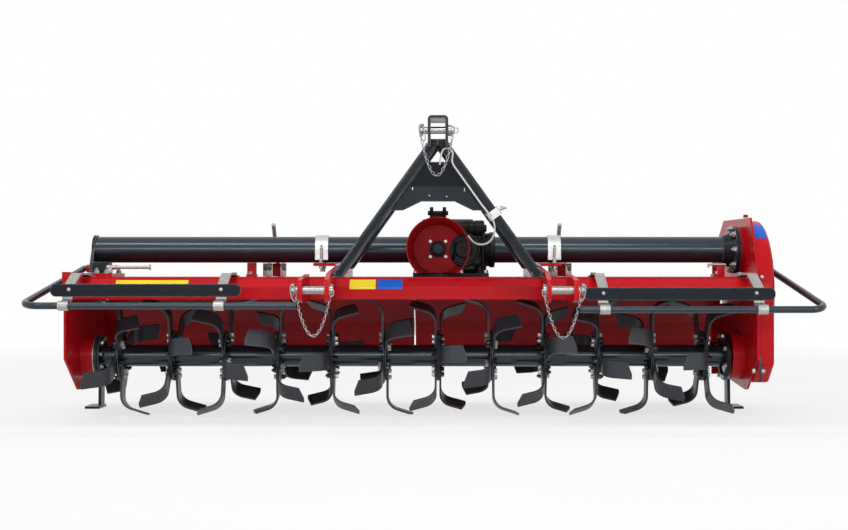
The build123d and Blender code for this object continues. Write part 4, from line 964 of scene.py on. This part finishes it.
# ------------------------------------------------------------------ gearbox casting
def casting_body(size, rounding, low, scale_top):
    """A cast block round (x, y) = 0 from z = low, narrowing upwards, with soft edges."""
    shape = block(size, 0)
    edit(shape)
    pick(shape, lambda number, at: at.z > 0)
    bpy.ops.transform.resize(value=(scale_top[0], scale_top[1], 1), center_override=(0, 0, 0))
    bpy.ops.mesh.select_all(action="SELECT")
    bpy.ops.mesh.bevel(offset=rounding * MM, segments=4, affect="EDGES")
    close(shape)
    shape.location = (0, 0, (low + size[2] / 2) * MM)
    only(shape)
    bpy.ops.object.transform_apply(location=True)
    return smooth(shape, 40)


def gearbox_casting():
    """Cast gearbox: tapered housing, cover, ribs, front bearing ring, output neck, side cylinder."""
    parts = [
        move_to(casting_body((270, 216, 182), 18, 0, (0.98, 0.9)), spot(50, 26, 555), UP),
        move_to(casting_body((236, 180, 14), 5, 0, (1, 1)), spot(48, 26, 735), UP),
        move_to(casting_body((206, 150, 18), 7, 0, (0.95, 0.9)), spot(38, 26, 746), UP),
        move_to(block((150, 12, 86), 4), spot(40, 130, 640), UP),
    ]
    front = turned(((0, 74), (14, 74), (18, 70), (34, 66), (38, 62), (44, 60), (46, 52)), 56)
    parts.append(placed(front, spot(0, -86, SHAFT_Z), FORWARD))
    lid = turned((
        (0, 66), (22, 66), (25, 63), (25, 56), (22, 53), (22, 34), (28, 30), (28, 10), (30, 8),
    ), 56)
    parts.append(placed(lid, spot(98, -76, TUBE_Z), FORWARD))
    neck = turned(((0, 76), (18, 76), (22, 72), (36, 66), (52, 64), (54, 69), (70, 69), (73, 66)), 64)
    parts.append(placed(neck, spot(147, 0, TUBE_Z), RIGHT))
    stub = turned(((0, 66), (16, 64), (18, 57), (36, 56)), 56)
    parts.append(placed(stub, spot(-72, 0, TUBE_Z), LEFT))
    side = turned((
        (0, 30), (40, 30), (42, 33), (54, 33), (56, 29), (60, 29), (62, 33), (78, 33), (80, 29), (84, 29),
        (86, 31), (116, 31), (120, 27), (121, 14), (128, 14), (130, 10),
    ), 40)
    parts.append(placed(side, spot(58, -62, 728), RIGHT))
    for x in (-62, 24, 172):
        parts.append(move_to(block((9, 40, 150), 3.5), spot(x, -84, 632), UP))
    for z in (590, 700):
        parts.append(move_to(block((30, 150, 9), 3.5), spot(180, 26, z), UP))
    for x, y in ((-66, -72), (164, -72), (-66, 124), (164, 124)):
        lug = turned(((0, 24), (26, 22), (30, 16), (44, 14)), 24)
        parts.append(placed(lug, spot(x, y, 555), UP))
    joined("gearbox_casting", parts, "chassis", BLACK_CAST)
    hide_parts("gearbox")
    screws = [(spot(x, y, GEARBOX_TOP), UP, 0.3) for x in (-48, 40, 128) for y in (-50, 102)]
    screws += [(spot(x, 26, GEARBOX_TOP), UP, 0.3) for x in (-48, 128)]
    joined("gearbox_screws", copies(hexagon(15, 9), screws), "chassis", BLACK_CAST)
    ring_bolts = round_places(0, -104.2, SHAFT_Z, FORWARD, 66, 8, 22)
    joined("gearbox_front_bolts", copies(hexagon(13, 8), ring_bolts), "chassis", BLACK_CAST)
    neck_bolts = round_places(201, 0, TUBE_Z, LEFT, 60, 8, 22)
    joined("gearbox_neck_bolts", copies(hexagon(15, 8), neck_bolts), "chassis", BLACK_CAST)
    plugs = [(spot(150, -98, 600), FORWARD, 0.2), (spot(-50, 100, 752), UP, 0)]
    fixed("gearbox_plugs", hexagon(24, 9), plugs, material=BLACK_CAST)
    bolt = turned(((-40, 8), (-39, 9), (39, 9), (40, 8)), 20)
    joined("lug_bolt", [placed(bolt, spot(0, 0, 789), RIGHT, 40)], "chassis", BLACK_CAST)


# ------------------------------------------------------------------ rear boards and rod brackets
def board_details():
    """Stiffening ribs, upright edges and rod pin bolts of the rear boards, and the flap at the hinge."""
    for name, xs, body in (
        ("left", (-1240, -1000, -420, -200), "board_left"),
        ("right", (60, 260, 720, 1000), "board_right"),
    ):
        out = Vector((0, 1, 1)).normalized()
        ribs = [move_to(block((6, 100, 26), 2.5), spot(x, 372, 404), out) for x in xs]
        joined(f"board_ribs_{name}", ribs, body, RED)
    low, high = span("rear_board_left")
    right_low, right_high = span("rear_board_right")
    for name, x in (("left", high.x + 0.9), ("right", right_low.x - 0.9)):
        seam = move_to(block((2.0, 5, 160), 0.7, 2), spot(x, 303, 378), Vector((0, -0.02, 1)))
        joined(f"board_edge_{name}", [seam], f"board_{name}", RED)
    left, right = low.x + 30, right_high.x - 4
    flap = move_to(block((right - left, 34, 2.2), 0.7, 2), spot((left + right) / 2, 285, 474.6), UP)
    joined("hinge_flap", [flap], "chassis", SEAL)
    for name, x in zip(("left", "right"), ROD_X):
        places = [(spot(x + side * 20.2, 430, 396), RIGHT * side, 0.2) for side in (-1, 1)]
        fixed(f"rod_pin_bolts_{name}", hexagon(22, 10), places, f"board_{name}")


def bracket_faces():
    """Plated faces and a red web that close the rods' brackets to the front."""
    faces, webs, bolts = [], [], []
    front = span("rod_brackets")[0].y
    for x in ROD_X:
        for near, far in ((-44, -7), (25, 49)):
            plate = block((far - near, 4, 52), 1.2)
            faces.append(move_to(plate, spot(x + (near + far) / 2, front - 2.2, 568), UP))
        webs.append(move_to(block((31, 4, 52), 1.2), spot(x + 9, front + 2.5, 568), UP))
        bolts += [(spot(x + dx, front - 4.4, 572), FORWARD, 0.2) for dx in (-34, -17, 40)]
    joined("bracket_faces", faces, "chassis", GALVANISED)
    joined("bracket_webs", webs, "chassis", DEEP_RED)
    fixed("bracket_face_bolts", hexagon(12, 6), bolts, material=DARK_STEEL)


blade_bolts()
rotor_ends()
hood_bolts()
case_bolts()
case_cover()
arc_sticker()
stickers()
hitch_hardware()
latches()
bar_caps()
mast_details()
clamp_nuts()
holder_wire()
bracket_faces()
input_details()
input_spline()
gearbox_casting()
board_details()


# ------------------------------------------------------------------ studio
EYE = (0, -5460, 567)          # the camera, in the part's own measures
LENS = 59.4                    # mm, on a sensor 36 mm wide
ASIDE, UPWARD = -0.0165, 0.0059  # the camera's shifts, as shares of the frame


def area(name, where, aim, wide, high, power, mirrored=True):
    """A soft box that shines from one place towards another; mirrored ones show in gloss."""
    light = bpy.data.lights.new(name, "AREA")
    light.shape = "RECTANGLE"
    light.size, light.size_y, light.energy = wide, high, power
    obj = bpy.data.objects.new(name, light)
    obj.location = where
    obj.rotation_mode = "QUATERNION"
    obj.rotation_quaternion = (Vector(aim) - Vector(where)).to_track_quat("-Z", "Y")
    obj.visible_glossy = mirrored
    bpy.context.collection.objects.link(obj)


def background_rays(tree):
    """Is 1 for the rays that show the background: those of the camera, of gloss and through glass."""
    rays = tree.nodes.new("ShaderNodeLightPath")
    total = rays.outputs["Is Camera Ray"]
    for kind in ("Is Glossy Ray", "Is Transmission Ray"):
        both = tree.nodes.new("ShaderNodeMath")
        both.operation = "ADD"
        tree.links.new(total, both.inputs[0])
        tree.links.new(rays.outputs[kind], both.inputs[1])
        total = both.outputs["Value"]
    return total


def studio():
    """Pale floor, white surround, soft boxes and the camera level with the hitch."""
    bpy.ops.object.select_all(action="DESELECT")
    bpy.ops.mesh.primitive_plane_add(size=60)
    floor = bpy.context.object
    floor.name = "floor"
    g = Graph("pale_floor")
    shade = g.range(g.noise(0.8, 3.0), 0.3, 0.7, 0.0, 1.0)
    g.finish(g.mix(shade, (0.86, 0.86, 0.86), (0.90, 0.90, 0.90)), 0.7, None, specular=0.2)
    reach = g.add("ShaderNodeVectorMath", operation="LENGTH")
    g.link(g.place, reach.inputs[0])
    fade = g.range(reach.outputs["Value"], 1.8, 6.0, 0.72, 1.0)
    seen = g.add("ShaderNodeMath", operation="MULTIPLY")
    g.link(background_rays(g.tree), seen.inputs[0])
    g.link(fade, seen.inputs[1])
    blend = g.add("ShaderNodeMixShader")
    g.link(seen.outputs["Value"], blend.inputs["Fac"])
    g.link(g.surface.outputs["BSDF"], blend.inputs[1])
    g.link(g.add("ShaderNodeEmission").outputs["Emission"], blend.inputs[2])
    g.link(blend.outputs["Shader"], g.out.inputs["Surface"])
    floor.data.materials.append(g.material)

    world = bpy.data.worlds.new("studio")
    world.use_nodes = True
    nodes, links = world.node_tree.nodes, world.node_tree.links
    level = nodes.new("ShaderNodeMapRange")
    level.inputs["To Min"].default_value = AMBIENT
    level.inputs["To Max"].default_value = 1.0
    links.new(background_rays(world.node_tree), level.inputs["Value"])
    background = nodes["Background"]
    background.inputs["Color"].default_value = (1.0, 1.0, 1.0, 1.0)
    links.new(level.outputs["Result"], background.inputs["Strength"])
    bpy.context.scene.world = world

    area("key", (-0.8, -2.8, 4.0), (0, 0, 0.4), 4.6, 0.4, 90)
    area("front", (0, -6.2, 1.75), (0, 0, 0.55), 6.0, 0.8, 100)
    area("fill", (3.8, -3.0, 1.8), (0.4, 0, 0.5), 1.0, 2.0, 30)
    area("top", (0, 0.3, 4.2), (0, 0, 0), 4.6, 1.2, 80, mirrored=False)

    camera = bpy.data.cameras.new("camera")
    camera.lens = LENS
    camera.sensor_width = 36.0
    camera.shift_x = ASIDE
    camera.shift_y = UPWARD
    eye = bpy.data.objects.new("camera", camera)
    eye.location = spot(*EYE)
    eye.rotation_euler = (math.radians(90), 0, 0)
    bpy.context.collection.objects.link(eye)
    scene = bpy.context.scene
    scene.camera = eye
    scene.view_settings.view_transform = "Standard"


studio()
